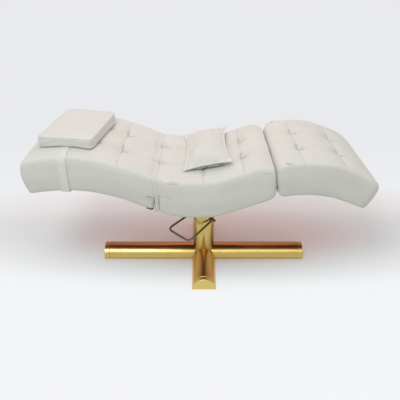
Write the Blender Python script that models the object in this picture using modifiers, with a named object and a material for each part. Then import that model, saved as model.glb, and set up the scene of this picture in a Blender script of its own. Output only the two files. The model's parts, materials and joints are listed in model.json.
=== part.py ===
"""Beauty bed: three tufted cushions on an S-curved line, carried by a swivelling lift column on a
half-round cross base. Metres, +Z up, +X towards the foot end, -Y the side with the badge.
The origin is on the floor, on the column's axis."""

import math

import bmesh
import bpy
from mathutils import Matrix, Vector

# Clearances
FIT_GAP = 0.0003
SOFT_GAP = 0.0006
CUT_OVERRUN = 0.004

# Counts
ARC_STEPS = 16
ROUND_STEPS = 24
SMALL_STEPS = 12
COLUMN_STEPS = 40
CELL_PARTS = 3
STRAP_CORNER_STEPS = 4

# The bed's own line, seen from the side: shares of its length and of its wave
BED_WIDTH = 0.68
HEAD_REACH = 0.937
FOOT_REACH = 0.912
SEAT_RISE = 0.0293
BED_WAVE = 0.168
bed_line_shares = (
    (0.000, 0.86),
    (0.059, 0.95),
    (0.119, 0.99),
    (0.174, 0.95),
    (0.220, 0.85),
    (0.278, 0.66),
    (0.341, 0.37),
    (0.405, 0.09),
    (0.445, 0.01),
    (0.500, 0.00),
    (0.551, 0.06),
    (0.613, 0.30),
    (0.697, 0.64),
    (0.741, 0.77),
    (0.783, 0.82),
    (0.832, 0.80),
    (0.870, 0.73),
    (0.931, 0.50),
    (1.000, 0.16),
)

# Hinge axes of the backrest and the leg rest, with their rise over the seat's lowest point
BACK_PIVOT_OUT = 0.247
BACK_PIVOT_RISE = 0.201
LEG_PIVOT_OUT = 0.391
LEG_PIVOT_RISE = 0.142

# Cushions
BACK_DEPTH = 0.198
SEAT_DEPTH = 0.219
LEG_DEPTH = 0.190
CREASE_GAP = 0.0025
BACK_NOTCH = 0.038
SEAT_LEAN = 0.010
SEAT_END_TOP = 0.020
SEAT_END_FOOT = 0.028
LEG_END_TOP = 0.005
LEG_END_FOOT = 0.016
HEAD_END_TUCK = 0.022
FOOT_END_TUCK_LOW = 0.042
FOOT_END_TUCK_HIGH = 0.044
HEAD_END_SWELL = 0.030
FOOT_END_SWELL = 0.057
SMALL_END_SWELL = 0.004
HEAD_CORNER = 0.028
INNER_CORNER = 0.020
FOOT_CORNER = 0.034
BACK_SEAM_NEAR = 0.203
BACK_SEAM_FAR = 0.413
SEAT_SEAM_NEAR = 0.242
SEAT_SEAM_FAR = 0.453
LEG_SEAM_NEAR = 0.120
LEG_SEAM_FAR = 0.347
SEAM_DEPTH = 0.012
TUFT_DEPTH = 0.009
EDGE_DROP = 0.010
EDGE_PULL = 0.004
SIDE_SWELL = 0.006
BOTTOM_DRAW = 0.006
CREASE_ROLL = 0.022
mid_ring_share = 0.46
top_swell_share = 0.35
TOP_EDGE_CREASE = 0.45
CORNER_CREASE = 0.8
SEAM_CREASE = 0.7
PILLOW_EDGE_CREASE = 0.5

# Layers inside a cushion, as heights over the bed line
END_WALL = 0.026
SIDE_WALL = 0.020
WADDING = 0.044
DUST_COVER_LOW = 0.0035
DUST_COVER_THICK = 0.001
BOARD_THICK = 0.012
LINE_PIECES = 32

# Steel frame under each board
RAIL_OUT = 0.088
RAIL_WIDE = 0.010
RAIL_DEEP = 0.023
CROSS_WIDE = 0.012
WELD_STEP = 0.0015
FRAME_END_GAP = 0.004
SADDLE_OUT = 0.075
SADDLE_WIDE = 0.030

# Hinge links, pins and the pockets that they turn in
LINK_OUT = 0.242
LINK_THICK = 0.006
LINK_EYE = 0.009
KNEE_DROP = 0.013
PIN_RADIUS = 0.0045
PIN_HEAD_RADIUS = 0.007
PIN_HEAD_LONG = 0.002
POCKET_MARGIN = 0.0025
LEG_POCKET_MARGIN = 0.007
LEG_KNEE_OUT = 0.047
SEAT_KNEE_BACK = 0.025

# Cross base of half-round tubes
BEAM_RADIUS = 0.0705
BEAM_WALL = 0.003
FLOOR_CLEAR = 0.003
LONG_REACH = 0.629
SHORT_REACH = 0.370
CAP_LENGTH = 0.030
CAP_WALL = 0.004
CAP_ROUND = 0.0025
CAP_SPIGOT = 0.020
GLIDE_RADIUS = 0.020
GLIDE_INSET = 0.060

# Column, pump and lift ram
COLUMN_RADIUS = 0.0645
COLUMN_WALL = 0.003
COLUMN_TOP = 0.315
COLUMN_START = 0.030
CAP_RING_THICK = 0.009
CAP_RING_SKIRT = 0.012
ACCESS_RADIUS = 0.0505
PUMP_FLANGE_RADIUS = 0.049
PUMP_FLANGE_THICK = 0.008
PUMP_RADIUS = 0.034
PUMP_BORE = 0.029
PUMP_FLOOR = 0.006
PUMP_TOP = 0.285
GLAND_LENGTH = 0.020
GLAND_LIP = 0.006
PUMP_BOLT_CIRCLE = 0.0415
PUMP_BOLT_RADIUS = 0.003
PUMP_BOLT_HEAD = 0.0055
PUMP_BOLT_HEAD_HIGH = 0.004
RAM_RADIUS = 0.019
RAM_FOOT = 0.078
RAM_SHOULDER = 0.372
PISTON_THICK = 0.022
BUSH_WALL = 0.003
WIPER_THICK = 0.003
WIPER_RADIUS = 0.026
SPIGOT_RADIUS = 0.0145
HUB_BORE_GAP = 0.0004
THRUST_THICK = 0.004
THRUST_RADIUS = 0.027

# Swivel hub and mounting plate
PLATE_LONG = 0.210
PLATE_WIDE = 0.210
PLATE_THICK = 0.006
HUB_HIGH = 0.0518
HUB_LOW_RADIUS = 0.034
HUB_TOP_RADIUS = 0.046
HUB_RIM = 0.008
PLATE_BOLT_OUT = 0.055
PLATE_BOLT_RADIUS = 0.004
PLATE_BOLT_HEAD = 0.0075
PLATE_BOLT_HEAD_HIGH = 0.005
PLATE_BOLT_LONG = 0.020
PLATE_EDGE_ROUND = 0.002

# Foot lever
LEVER_ROD = 0.0055
LEVER_AXIS_HEIGHT = 0.286
LEVER_SPREAD = 0.156
LEVER_OPEN = 0.186
LEVER_REACH = 0.211
LEVER_FALL = 0.054
LEVER_BEND = 0.030
LEVER_TURN = math.radians(-46.4)
LEVER_BOSS = 0.010
LEVER_BOLT = 0.005
LEVER_BOLT_HEAD = 0.0085
LEVER_BOLT_HEAD_LONG = 0.014
LEVER_BOLT_INSIDE = 0.006

# Head pillow and its strap
PILLOW_LONG = 0.280
PILLOW_WIDE = 0.440
PILLOW_THICK = 0.056
PILLOW_REST = 0.0024
PILLOW_FROM_HEAD = 0.231
PILLOW_TURN = math.radians(-7.0)
PILLOW_WALL = 0.009
PILLOW_CROWN = 0.006
PILLOW_SWELL = 0.004
PILLOW_ZIP_LONG = 0.300
PILLOW_ZIP_HIGH = 0.003
PILLOW_PARTS_LONG = 4
PILLOW_PARTS_WIDE = 6
STRAP_WIDE = 0.046
STRAP_THICK = 0.0016
STRAP_HANG = 0.0016
STRAP_FROM_HEAD = 0.191
STRAP_CORNER = 0.030
STRAP_LOW_CORNER = 0.008

# Loose lumbar pillow
LUMBAR_LONG = 0.290
LUMBAR_WIDE = 0.500
LUMBAR_THICK = 0.094
LUMBAR_PINCH = 0.016
LUMBAR_SETTLE = 0.0072
LUMBAR_MIDDLE = 0.022
LUMBAR_ACROSS = 0.030
LUMBAR_TILT = math.radians(-9.0)
LUMBAR_TURN = math.radians(2.0)
LUMBAR_PARTS = 8

# Badge plate
BADGE_LONG = 0.045
BADGE_HIGH = 0.010
BADGE_THICK = 0.0015
BADGE_MIDDLE = 0.165
BADGE_LEAN = math.radians(5.7)
BADGE_INSET = 0.0020
BADGE_SINK = 0.0195

# Finishes: colour, roughness, metallic
GOLD = ("brushed_gold", (0.62, 0.41, 0.12), 0.28, 1.0)
CAP_GOLD = ("satin_gold", (0.66, 0.47, 0.16), 0.32, 1.0)
BRONZE = ("dark_bronze", (0.16, 0.10, 0.04), 0.30, 1.0)
STEEL = ("black_steel", (0.03, 0.03, 0.032), 0.45, 0.6)
ZINC = ("zinc_steel", (0.55, 0.55, 0.56), 0.35, 1.0)
CHROME = ("chrome", (0.80, 0.80, 0.80), 0.08, 1.0)
BRASS = ("brass", (0.65, 0.45, 0.18), 0.30, 1.0)
RUBBER = ("black_rubber", (0.02, 0.02, 0.02), 0.80, 0.0)
PLASTIC = ("black_plastic", (0.03, 0.03, 0.03), 0.50, 0.0)
WOOD = ("plywood", (0.55, 0.38, 0.22), 0.70, 0.0)
FOAM = ("foam", (0.82, 0.74, 0.52), 0.90, 0.0)
CLOTH = ("pearl_fabric", (0.66, 0.64, 0.61), 0.85, 0.0)
PILLOW_CLOTH = ("pillow_fabric", (0.74, 0.73, 0.70), 0.85, 0.0)
LINING = ("black_lining", (0.02, 0.02, 0.022), 0.95, 0.0)

# Places worked out from the sizes above
BED_LENGTH = HEAD_REACH + FOOT_REACH
HALF_WIDTH = BED_WIDTH / 2
BOARD_LOW = DUST_COVER_LOW + DUST_COVER_THICK + FIT_GAP
BOARD_HIGH = BOARD_LOW + BOARD_THICK
RAIL_HIGH = DUST_COVER_LOW - FIT_GAP
RAIL_LOW = RAIL_HIGH - RAIL_DEEP
LINK_MIDDLE = LINK_OUT + LINK_THICK / 2
ARM_MIDDLE = LINK_OUT + LINK_THICK + FIT_GAP + LINK_THICK / 2
CROSS_REACH = ARM_MIDDLE + LINK_THICK / 2 + FIT_GAP
HUB_LOW = RAM_SHOULDER + FIT_GAP + THRUST_THICK + FIT_GAP
HUB_TOP = HUB_LOW + HUB_HIGH
PLATE_LOW = HUB_TOP + FIT_GAP
PLATE_TOP = PLATE_LOW + PLATE_THICK
SEAT_LOW = PLATE_TOP + SEAT_RISE
BACK_PIVOT_HEIGHT = SEAT_LOW + BACK_PIVOT_RISE
LEG_PIVOT_HEIGHT = SEAT_LOW + LEG_PIVOT_RISE
PILLOW_MIDDLE = HEAD_REACH - PILLOW_FROM_HEAD
STRAP_MIDDLE = HEAD_REACH - STRAP_FROM_HEAD
GLIDE_TOP = FLOOR_CLEAR - FIT_GAP
COLUMN_BORE = COLUMN_RADIUS - COLUMN_WALL
BACK_AXIS = Vector((-BACK_PIVOT_OUT, 0, BACK_PIVOT_HEIGHT))
LEG_AXIS = Vector((LEG_PIVOT_OUT, 0, LEG_PIVOT_HEIGHT))


def clear_scene():
    """Removes whatever the scene holds before the bed is made."""
    for old in list(bpy.data.objects):
        bpy.data.objects.remove(old, do_unlink=True)


def collection(name):
    """A new collection linked to the scene."""
    made = bpy.data.collections.new(name)
    bpy.context.scene.collection.children.link(made)
    return made


clear_scene()
PARTS = collection("beauty_bed")
CUTTERS = collection("cutters")
CUTTERS.hide_render = True


def finish_material(finish):
    """The Principled material of a finish, made once."""
    name, colour, roughness, metallic = finish
    found = bpy.data.materials.get(name)
    if found:
        return found
    made = bpy.data.materials.new(name)
    made.use_nodes = True
    made.diffuse_color = (*colour, 1.0)
    shader = made.node_tree.nodes["Principled BSDF"]
    shader.inputs["Base Color"].default_value = (*colour, 1.0)
    shader.inputs["Roughness"].default_value = roughness
    shader.inputs["Metallic"].default_value = metallic
    return made


def place(obj, finish, parent=None):
    """Puts an object among the parts, or among the cutters where it has no finish."""
    if finish is None:
        CUTTERS.objects.link(obj)
        obj.hide_render = True
        obj.display_type = "WIRE"
        return obj
    PARTS.objects.link(obj)
    obj.data.materials.clear()
    obj.data.materials.append(finish_material(finish))
    if parent:
        obj.parent = parent
        obj.matrix_parent_inverse = Matrix.Translation(parent.location).inverted()
    return obj


def axis_empty(name, location, parent=None):
    """An empty on a joint's axis, which carries the pieces that move with it."""
    empty = bpy.data.objects.new(name, None)
    empty.location = location
    PARTS.objects.link(empty)
    if parent:
        empty.parent = parent
        empty.matrix_parent_inverse = Matrix.Translation(parent.location).inverted()
    return empty


def smooth_round(obj):
    """Shades round faces smooth and keeps the edges of flat ones."""
    obj.data.shade_smooth()
    obj.data.set_sharp_from_angle(angle=math.radians(35.0))
    return obj


def object_of(name, bm, finish, parent=None):
    """An object from a bmesh, with its faces turned outwards."""
    bmesh.ops.recalc_face_normals(bm, faces=bm.faces)
    if bm.calc_volume(signed=True) < 0:
        bmesh.ops.reverse_faces(bm, faces=bm.faces)
    mesh = bpy.data.meshes.new(name)
    bm.to_mesh(mesh)
    bm.free()
    return place(bpy.data.objects.new(name, mesh), finish, parent)


def baked(obj, name, finish, parent=None):
    """The evaluated mesh of an object as a new object, in place of the old one."""
    bpy.context.view_layer.update()
    graph = bpy.context.evaluated_depsgraph_get()
    mesh = bpy.data.meshes.new_from_object(obj.evaluated_get(graph))
    bm = bmesh.new()
    bm.from_mesh(mesh)
    bmesh.ops.remove_doubles(bm, verts=bm.verts, dist=FIT_GAP / 10)
    bm.transform(obj.matrix_world)
    bpy.data.objects.remove(obj, do_unlink=True)
    return object_of(name, bm, finish, parent)


def block(name, low, high, finish, parent=None):
    """A box between two corners."""
    bm = bmesh.new()
    bmesh.ops.create_cube(bm, size=1.0)
    size = Vector(high) - Vector(low)
    bmesh.ops.scale(bm, vec=size, verts=bm.verts)
    bmesh.ops.translate(bm, vec=(Vector(high) + Vector(low)) / 2, verts=bm.verts)
    return object_of(name, bm, finish, parent)


def outline_solid(name, loops, half_depth, turn, centre, finish, parent=None):
    """A flat outline, with any holes, made thick on both sides of its plane and turned into place."""
    curve = bpy.data.curves.new(name, "CURVE")
    curve.dimensions = "2D"
    curve.fill_mode = "BOTH"
    curve.extrude = half_depth
    for loop in loops:
        spline = curve.splines.new("POLY")
        spline.points.add(len(loop) - 1)
        for point, (across, up) in zip(spline.points, loop):
            point.co = (across, up, 0, 1)
        spline.use_cyclic_u = True
    obj = bpy.data.objects.new(name + "_outline", curve)
    CUTTERS.objects.link(obj)
    obj.rotation_euler = turn
    obj.location = centre
    return baked(obj, name, finish, parent)


ALONG_X = (math.pi / 2, 0, math.pi / 2)
ALONG_Y = (math.pi / 2, 0, 0)


def turned(name, profile, finish, centre=(0, 0, 0), turn=(0, 0, 0), steps=ROUND_STEPS, parent=None,
           closed=True):
    """A profile of (radius, height) pairs turned about its own Z axis. It runs down the outer side."""
    bm = bmesh.new()
    points = [bm.verts.new((radius, 0, height)) for radius, height in profile]
    for first, second in zip(points, points[1:]):
        bm.edges.new((first, second))
    if closed:
        bm.edges.new((points[-1], points[0]))
    mesh = bpy.data.meshes.new(name)
    bm.to_mesh(mesh)
    bm.free()
    obj = bpy.data.objects.new(name + "_profile", mesh)
    CUTTERS.objects.link(obj)
    obj.location = centre
    obj.rotation_euler = turn
    screw = obj.modifiers.new("Turn", "SCREW")
    screw.steps = steps
    screw.render_steps = steps
    screw.use_merge_vertices = True
    screw.merge_threshold = FIT_GAP / 10
    return smooth_round(baked(obj, name, finish, parent))


def rod(name, radius, low, high, finish, centre=(0, 0, 0), turn=(0, 0, 0), steps=ROUND_STEPS,
        parent=None):
    """A plain round bar between two heights on its own Z axis."""
    profile = ((0, high), (radius, high), (radius, low), (0, low))
    return turned(name, profile, finish, centre, turn, steps, parent, closed=False)


def ring(name, bore, radius, low, high, finish, parent=None, steps=ROUND_STEPS):
    """A plain ring about the column's axis."""
    profile = ((radius, high), (radius, low), (bore, low), (bore, high))
    return turned(name, profile, finish, steps=steps, parent=parent)


def boolean(obj, other, operation):
    """Adds one Boolean to an object."""
    modifier = obj.modifiers.new(operation.title(), "BOOLEAN")
    modifier.operation = operation
    modifier.solver = "EXACT"
    modifier.object = other
    return obj


def cut_curved(obj, *cutters):
    """Takes cutters away from a soft form, whose faces aren't flat."""
    for cutter in cutters:
        boolean(obj, cutter, "DIFFERENCE").modifiers[-1].solver = "MANIFOLD"
    return obj


def cut(obj, *cutters):
    """Takes each cutter away from an object."""
    for cutter in cutters:
        boolean(obj, cutter, "DIFFERENCE")
    return obj


def joined(obj, name, finish, others, parent=None):
    """One body from an object and the shapes that are welded to it."""
    for other in others:
        boolean(obj, other, "UNION")
    made = baked(obj, name, finish, parent)
    for other in others:
        bpy.data.objects.remove(other, do_unlink=True)
    return made


def curve_height(table, share):
    """Height share at a length share, on a smooth curve through the table's points."""
    last = len(table) - 2
    index = min(max(sum(1 for place, _ in table if place <= share) - 1, 0), last)

    def slope(at):
        before = table[max(at - 1, 0)]
        after = table[min(at + 1, last + 1)]
        return (after[1] - before[1]) / (after[0] - before[0])

    (start, low), (end, high) = table[index], table[index + 1]
    span = end - start
    t = (share - start) / span
    lift = low * (2 * t**3 - 3 * t**2 + 1) + high * (3 * t**2 - 2 * t**3)
    lean = slope(index) * (t**3 - 2 * t**2 + t) + slope(index + 1) * (t**3 - t**2)
    return lift + lean * span


def underline(x):
    """Height of the cushions' lower edge at this place along the bed."""
    return SEAT_LOW + BED_WAVE * curve_height(bed_line_shares, (x + HEAD_REACH) / BED_LENGTH)


def layer_line(x):
    """Height of the line that stiff layers follow: the cushions' lower edge in straight pieces."""
    step = BED_LENGTH / LINE_PIECES
    piece = math.floor((x + HEAD_REACH) / step)
    start = piece * step - HEAD_REACH
    share = (x - start) / step
    return underline(start) * (1 - share) + underline(start + step) * share


def places_between(left, right):
    """Both ends, and the places between them where the layers' line bends."""
    step = BED_LENGTH / LINE_PIECES
    bends = [k * step - HEAD_REACH for k in range(LINE_PIECES + 1)]
    return [left, *(x for x in bends if left + CUT_OVERRUN < x < right - CUT_OVERRUN), right]


class Pad:
    """One upholstered section. low and high name the lower and upper corner of each end."""

    def __init__(self, name, left, right, depth, seams, corners, swells, rolls):
        self.name = name
        self.left_low, self.left_high = left
        self.right_low, self.right_high = right
        self.depth = depth
        self.seams = seams
        self.left_corner, self.right_corner = corners
        self.left_swell, self.right_swell = swells
        self.left_roll, self.right_roll = rolls

    def left_at(self, offset):
        """Where the left end is at a height over the bed line."""
        return self.left_low + (self.left_high - self.left_low) * offset / self.depth

    def right_at(self, offset):
        """Where the right end is at a height over the bed line."""
        return self.right_low + (self.right_high - self.right_low) * offset / self.depth

    def layer(self, inset, low, high):
        """Outline of a layer that follows the bed line between two heights over it."""
        loop = []
        for offset in (low, high):
            places = places_between(self.left_at(offset) + inset, self.right_at(offset) - inset)
            row = [(x, layer_line(x) + offset) for x in places]
            loop += row if offset == low else row[::-1]
        return loop


back_pad = Pad(
    "back",
    (HEAD_END_TUCK - HEAD_REACH, HEAD_END_TUCK - HEAD_REACH),
    (-BACK_PIVOT_OUT - BACK_NOTCH, -BACK_PIVOT_OUT - CREASE_GAP),
    BACK_DEPTH,
    (-BACK_PIVOT_OUT - BACK_SEAM_FAR, -BACK_PIVOT_OUT - BACK_SEAM_NEAR),
    (HEAD_CORNER, INNER_CORNER),
    (HEAD_END_SWELL, 0),
    (0, CREASE_ROLL),
)
seat_pad = Pad(
    "seat",
    (-BACK_PIVOT_OUT - SEAT_LEAN, -BACK_PIVOT_OUT + CREASE_GAP),
    (LEG_PIVOT_OUT - SEAT_END_FOOT, LEG_PIVOT_OUT - SEAT_END_TOP),
    SEAT_DEPTH,
    (-BACK_PIVOT_OUT + SEAT_SEAM_NEAR, -BACK_PIVOT_OUT + SEAT_SEAM_FAR),
    (INNER_CORNER, INNER_CORNER),
    (0, SMALL_END_SWELL),
    (CREASE_ROLL, 0),
)
leg_pad = Pad(
    "leg",
    (LEG_PIVOT_OUT + LEG_END_FOOT, LEG_PIVOT_OUT + LEG_END_TOP),
    (FOOT_REACH - FOOT_END_TUCK_LOW, FOOT_REACH - FOOT_END_TUCK_HIGH),
    LEG_DEPTH,
    (LEG_PIVOT_OUT + LEG_SEAM_NEAR, LEG_PIVOT_OUT + LEG_SEAM_FAR),
    (INNER_CORNER, FOOT_CORNER),
    (SMALL_END_SWELL, FOOT_END_SWELL),
    (0, 0),
)


def stations(low, seams, high):
    """Places across a cushion with CELL_PARTS steps a cell, each with its fullness from 0 to 1."""
    bounds = (low, *seams, high)
    made = []
    for cell, (start, end) in enumerate(zip(bounds, bounds[1:])):
        for part in range(CELL_PARTS):
            share = part / CELL_PARTS
            open_start = cell == 0 and share < 0.5
            open_end = cell == len(seams) and share > 0.5
            full = 1.0 if open_start or open_end else math.sqrt(math.sin(math.pi * share))
            made.append((start + (end - start) * share, full))
    made.append((high, 1.0))
    return made


def rounded(across, along, half_across, half_along, corner):
    """Moves a point of a rectangle inwards, so that the rectangle's corner gets this radius."""
    reach = max(abs(across) / half_across, abs(along) / half_along)
    if reach == 0 or corner == 0:
        return across, along
    edge_across, edge_along = across / reach, along / reach
    over_across = abs(edge_across) - (half_across - corner)
    over_along = abs(edge_along) - (half_along - corner)
    if over_across <= 0 or over_along <= 0:
        return across, along
    pull = corner / math.hypot(over_across, over_along)
    if pull >= 1:
        return across, along
    blend = reach**4
    shift_across = math.copysign(over_across * (1 - pull) * blend, across)
    shift_along = math.copysign(over_along * (1 - pull) * blend, along)
    return across - shift_across, along - shift_along


def pad_point(pad, x, y, level_share, draw, swell_share):
    """A point of the cushion's side, level_share of the way up, drawn in or swelled out."""
    offset = pad.depth * level_share
    share = (x - pad.left_high) / (pad.right_high - pad.left_high)
    left = pad.left_at(offset) - pad.left_swell * swell_share
    right = pad.right_at(offset) + pad.right_swell * swell_share
    middle = (left + right) / 2
    half_long = (right - left) / 2
    along = left + (right - left) * share - middle
    corner = pad.left_corner if along < 0 else pad.right_corner
    along, across = rounded(along, y, half_long, HALF_WIDTH, corner)
    return middle + along, across * (HALF_WIDTH - draw) / HALF_WIDTH, offset


def crease_path(bm, verts, sharpness):
    """Sharpens the edges along a row of points."""
    layer = bm.edges.layers.float.get("crease_edge") or bm.edges.layers.float.new("crease_edge")
    for first, second in zip(verts, verts[1:]):
        bm.edges.get((first, second))[layer] = sharpness


def crease_ring(bm, verts, sharpness):
    """Sharpens the edges round a closed row of points."""
    crease_path(bm, [*verts, verts[0]], sharpness)


def pad_cage(pad):
    """Coarse closed cage of a tufted cushion: puffed cells on top, swelled sides, drawn-in foot."""
    bm = bmesh.new()
    columns = stations(pad.left_high, pad.seams, pad.right_high)
    rows = stations(-HALF_WIDTH, (-HALF_WIDTH / 3, HALF_WIDTH / 3), HALF_WIDTH)
    last_column, last_row = len(columns) - 1, len(rows) - 1
    top = {}
    for i, (x, full_along) in enumerate(columns):
        for j, (y, full_across) in enumerate(rows):
            on_edge = i in (0, last_column) or j in (0, last_row)
            at_tuft = full_along == 0 and full_across == 0
            pulled = EDGE_PULL if on_edge and 0 in (full_along, full_across) else 0
            at_x, at_y, offset = pad_point(pad, x, y, 1.0, pulled, top_swell_share)
            drop = SEAM_DEPTH * (2 - full_along - full_across) + TUFT_DEPTH * at_tuft
            drop += EDGE_DROP * on_edge
            drop += pad.left_roll * (i == 0) + pad.right_roll * (i == last_column)
            top[i, j] = bm.verts.new((at_x, at_y, underline(at_x) + offset - drop))
    edge = [(i, 0) for i in range(last_column)]
    edge += [(last_column, j) for j in range(last_row)]
    edge += [(i, last_row) for i in range(last_column, 0, -1)]
    edge += [(0, j) for j in range(last_row, 0, -1)]
    rings = [{at: top[at] for at in edge}]
    for level_share, draw, swell_share in ((mid_ring_share, -SIDE_SWELL, 1.0), (0, BOTTOM_DRAW, 0)):
        made = {}
        for i, j in edge:
            x, y, offset = pad_point(pad, columns[i][0], rows[j][0], level_share, draw, swell_share)
            made[i, j] = bm.verts.new((x, y, underline(x) + offset))
        rings.append(made)
    for i in range(last_column):
        for j in range(last_row):
            bm.faces.new((top[i, j], top[i + 1, j], top[i + 1, j + 1], top[i, j + 1]))
    for upper, lower in zip(rings, rings[1:]):
        for at, after in zip(edge, edge[1:] + edge[:1]):
            bm.faces.new((upper[at], lower[at], lower[after], upper[after]))
    foot = rings[-1]
    for i in range(1, last_column - 1):
        bm.faces.new((foot[i, 0], foot[i, last_row], foot[i + 1, last_row], foot[i + 1, 0]))
    for end, beside in ((0, 1), (last_column, last_column - 1)):
        across = [foot[end, j] for j in range(last_row + 1)]
        bm.faces.new([foot[beside, 0], *across, foot[beside, last_row]])
    for loop, sharpness in ((top, TOP_EDGE_CREASE), (foot, 1.0)):
        crease_ring(bm, [loop[at] for at in edge], sharpness)
    for corner in ((0, 0), (0, last_row), (last_column, 0), (last_column, last_row)):
        small = (pad.left_corner if corner[0] == 0 else pad.right_corner) == INNER_CORNER
        for upper, lower in zip(rings, rings[1:]):
            crease_path(bm, (upper[corner], lower[corner]), CORNER_CREASE * small)
    for i, (_, full) in enumerate(columns):
        if full == 0:
            crease_path(bm, [top[i, j] for j in range(last_row + 1)], SEAM_CREASE)
    for j, (_, full) in enumerate(rows):
        if full == 0:
            crease_path(bm, [top[i, j] for i in range(last_column + 1)], SEAM_CREASE)
    return bm


def subdivided(obj):
    """Adds one level of Subdivision Surface."""
    modifier = obj.modifiers.new("Soft", "SUBSURF")
    modifier.levels = 1
    modifier.render_levels = 1
    return obj


def bent_bar(name, route, radius, low_y, high_y):
    """A flat bar with round ends that follows points of the XZ plane, mitred where it bends."""
    points = [Vector(point) for point in route]
    headings = [(after - before).normalized() for before, after in zip(points, points[1:])]
    sides = [Vector((-heading.y, heading.x)) for heading in headings]
    right, left = [], []
    for point, before, after in zip(points[1:-1], sides, sides[1:]):
        mitre = (before + after).normalized()
        reach = radius / mitre.dot(before)
        right.append(point - mitre * reach)
        left.append(point + mitre * reach)
    loop = [tuple(point) for point in right]
    for point, heading in ((points[-1], headings[-1]), (points[0], -headings[0])):
        first = math.atan2(heading.y, heading.x) - math.pi / 2
        for step in range(SMALL_STEPS // 2 + 1):
            angle = first + math.pi * step / (SMALL_STEPS // 2)
            loop.append((point.x + radius * math.cos(angle), point.y + radius * math.sin(angle)))
        if heading == headings[-1]:
            loop += [tuple(point) for point in reversed(left)]
    middle = (0, (low_y + high_y) / 2, 0)
    return outline_solid(name, [loop], (high_y - low_y) / 2, ALONG_Y, middle, None)


def pocket(name, axis, knee, radius, side):
    """Cutter for the space that a hinge's links and pin need inside a cushion."""
    inner = LINK_OUT - PIN_HEAD_LONG - POCKET_MARGIN
    outer = CROSS_REACH + PIN_HEAD_LONG + POCKET_MARGIN
    low, high = sorted((side * inner, side * outer))
    return bent_bar(name, ((axis.x, axis.z), knee), radius, low, high)


def cavity(pad):
    """Cutter for the hollow that holds the foam, the board and the lining."""
    loop = pad.layer(END_WALL, -END_WALL, pad.depth - WADDING)
    return outline_solid(pad.name + "_cavity", [loop], HALF_WIDTH - SIDE_WALL, ALONG_Y, (0, 0, 0), None)


def layer_solid(pad, name, low, high, finish, parent):
    """One flat layer of a cushion, a little smaller than its hollow."""
    loop = pad.layer(END_WALL + SOFT_GAP, low, high)
    half_wide = HALF_WIDTH - SIDE_WALL - SOFT_GAP
    return outline_solid(pad.name + name, [loop], half_wide, ALONG_Y, (0, 0, 0), finish, parent)


def cushion(pad, pockets, parent):
    """A section's cover, foam, board and lining."""
    cover = object_of(pad.name + "_cover", pad_cage(pad), CLOTH, parent)
    cover.data.shade_smooth()
    subdivided(cover)
    cut_curved(cover, cavity(pad), *pockets)
    foam_high = pad.depth - WADDING - SOFT_GAP
    layer_solid(pad, "_foam", BOARD_HIGH + FIT_GAP, foam_high, FOAM, parent)
    layer_solid(pad, "_board", BOARD_LOW, BOARD_HIGH, WOOD, parent)
    layer_solid(pad, "_dust_cover", DUST_COVER_LOW, DUST_COVER_LOW + DUST_COVER_THICK, LINING, parent)


def strip(name, left, right, low_y, high_y, low, high):
    """A bar under the board that follows the bed line between two places and two heights over it."""
    places = places_between(left, right)
    lower = [(x, layer_line(x) + low) for x in places]
    upper = [(x, layer_line(x) + high) for x in reversed(places)]
    middle = (0, (low_y + high_y) / 2, 0)
    return outline_solid(name, [lower + upper], (high_y - low_y) / 2, ALONG_Y, middle, None)


def frame_ends(pad):
    """Where a section's frame starts and ends along the bed. None reaches the head strap."""
    strap_end = STRAP_WIDE / 2 + FRAME_END_GAP - STRAP_MIDDLE
    left = max(pad.left_at(RAIL_HIGH) + END_WALL + FRAME_END_GAP, strap_end)
    return left, pad.right_at(RAIL_HIGH) - END_WALL - FRAME_END_GAP


def link_shapes(name, axis, knee_x, bar_x, middle_y):
    """A hinge link from its eye on the axis, round the cushion's lower corner, to a cross bar."""
    knee = (knee_x, underline(knee_x) - KNEE_DROP)
    foot = (bar_x, underline(bar_x) + RAIL_LOW + LINK_EYE)
    shapes = []
    for side in (-1, 1):
        low_y = side * middle_y - LINK_THICK / 2
        high_y = side * middle_y + LINK_THICK / 2
        route = ((axis.x, axis.z), knee, foot)
        shapes.append(bent_bar(f"{name}_{side}", route, LINK_EYE, low_y, high_y))
    return shapes


def pin_bores(name, axis):
    """Cutters for the pin holes of both links of a hinge."""
    reach = CROSS_REACH + PIN_HEAD_LONG + CUT_OVERRUN
    return [rod(name, PIN_RADIUS + FIT_GAP, -reach, reach, None, axis, ALONG_Y, SMALL_STEPS)]


def frame(pad, links, bores, saddles, parent):
    """A section's welded steel frame: two rails, two cross bars and its hinge links."""
    left, right = frame_ends(pad)
    rails = []
    for side in (-1, 1):
        low_y = side * RAIL_OUT - RAIL_WIDE / 2
        high_y = side * RAIL_OUT + RAIL_WIDE / 2
        name = f"{pad.name}_rail_{side}"
        rails.append(strip(name, left, right, low_y, high_y, RAIL_LOW, RAIL_HIGH))
    low, high = RAIL_LOW + WELD_STEP, RAIL_HIGH - WELD_STEP
    crosses = []
    for name, start in (("left", left + WELD_STEP), ("right", right - WELD_STEP - CROSS_WIDE)):
        ends = (start, start + CROSS_WIDE, -CROSS_REACH, CROSS_REACH)
        crosses.append(strip(f"{pad.name}_cross_{name}", *ends, low, high))
    welded = [rails[1], *crosses, *links, *saddles]
    made = joined(rails[0], pad.name + "_frame", STEEL, welded, parent)
    return cut(made, *bores)


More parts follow.
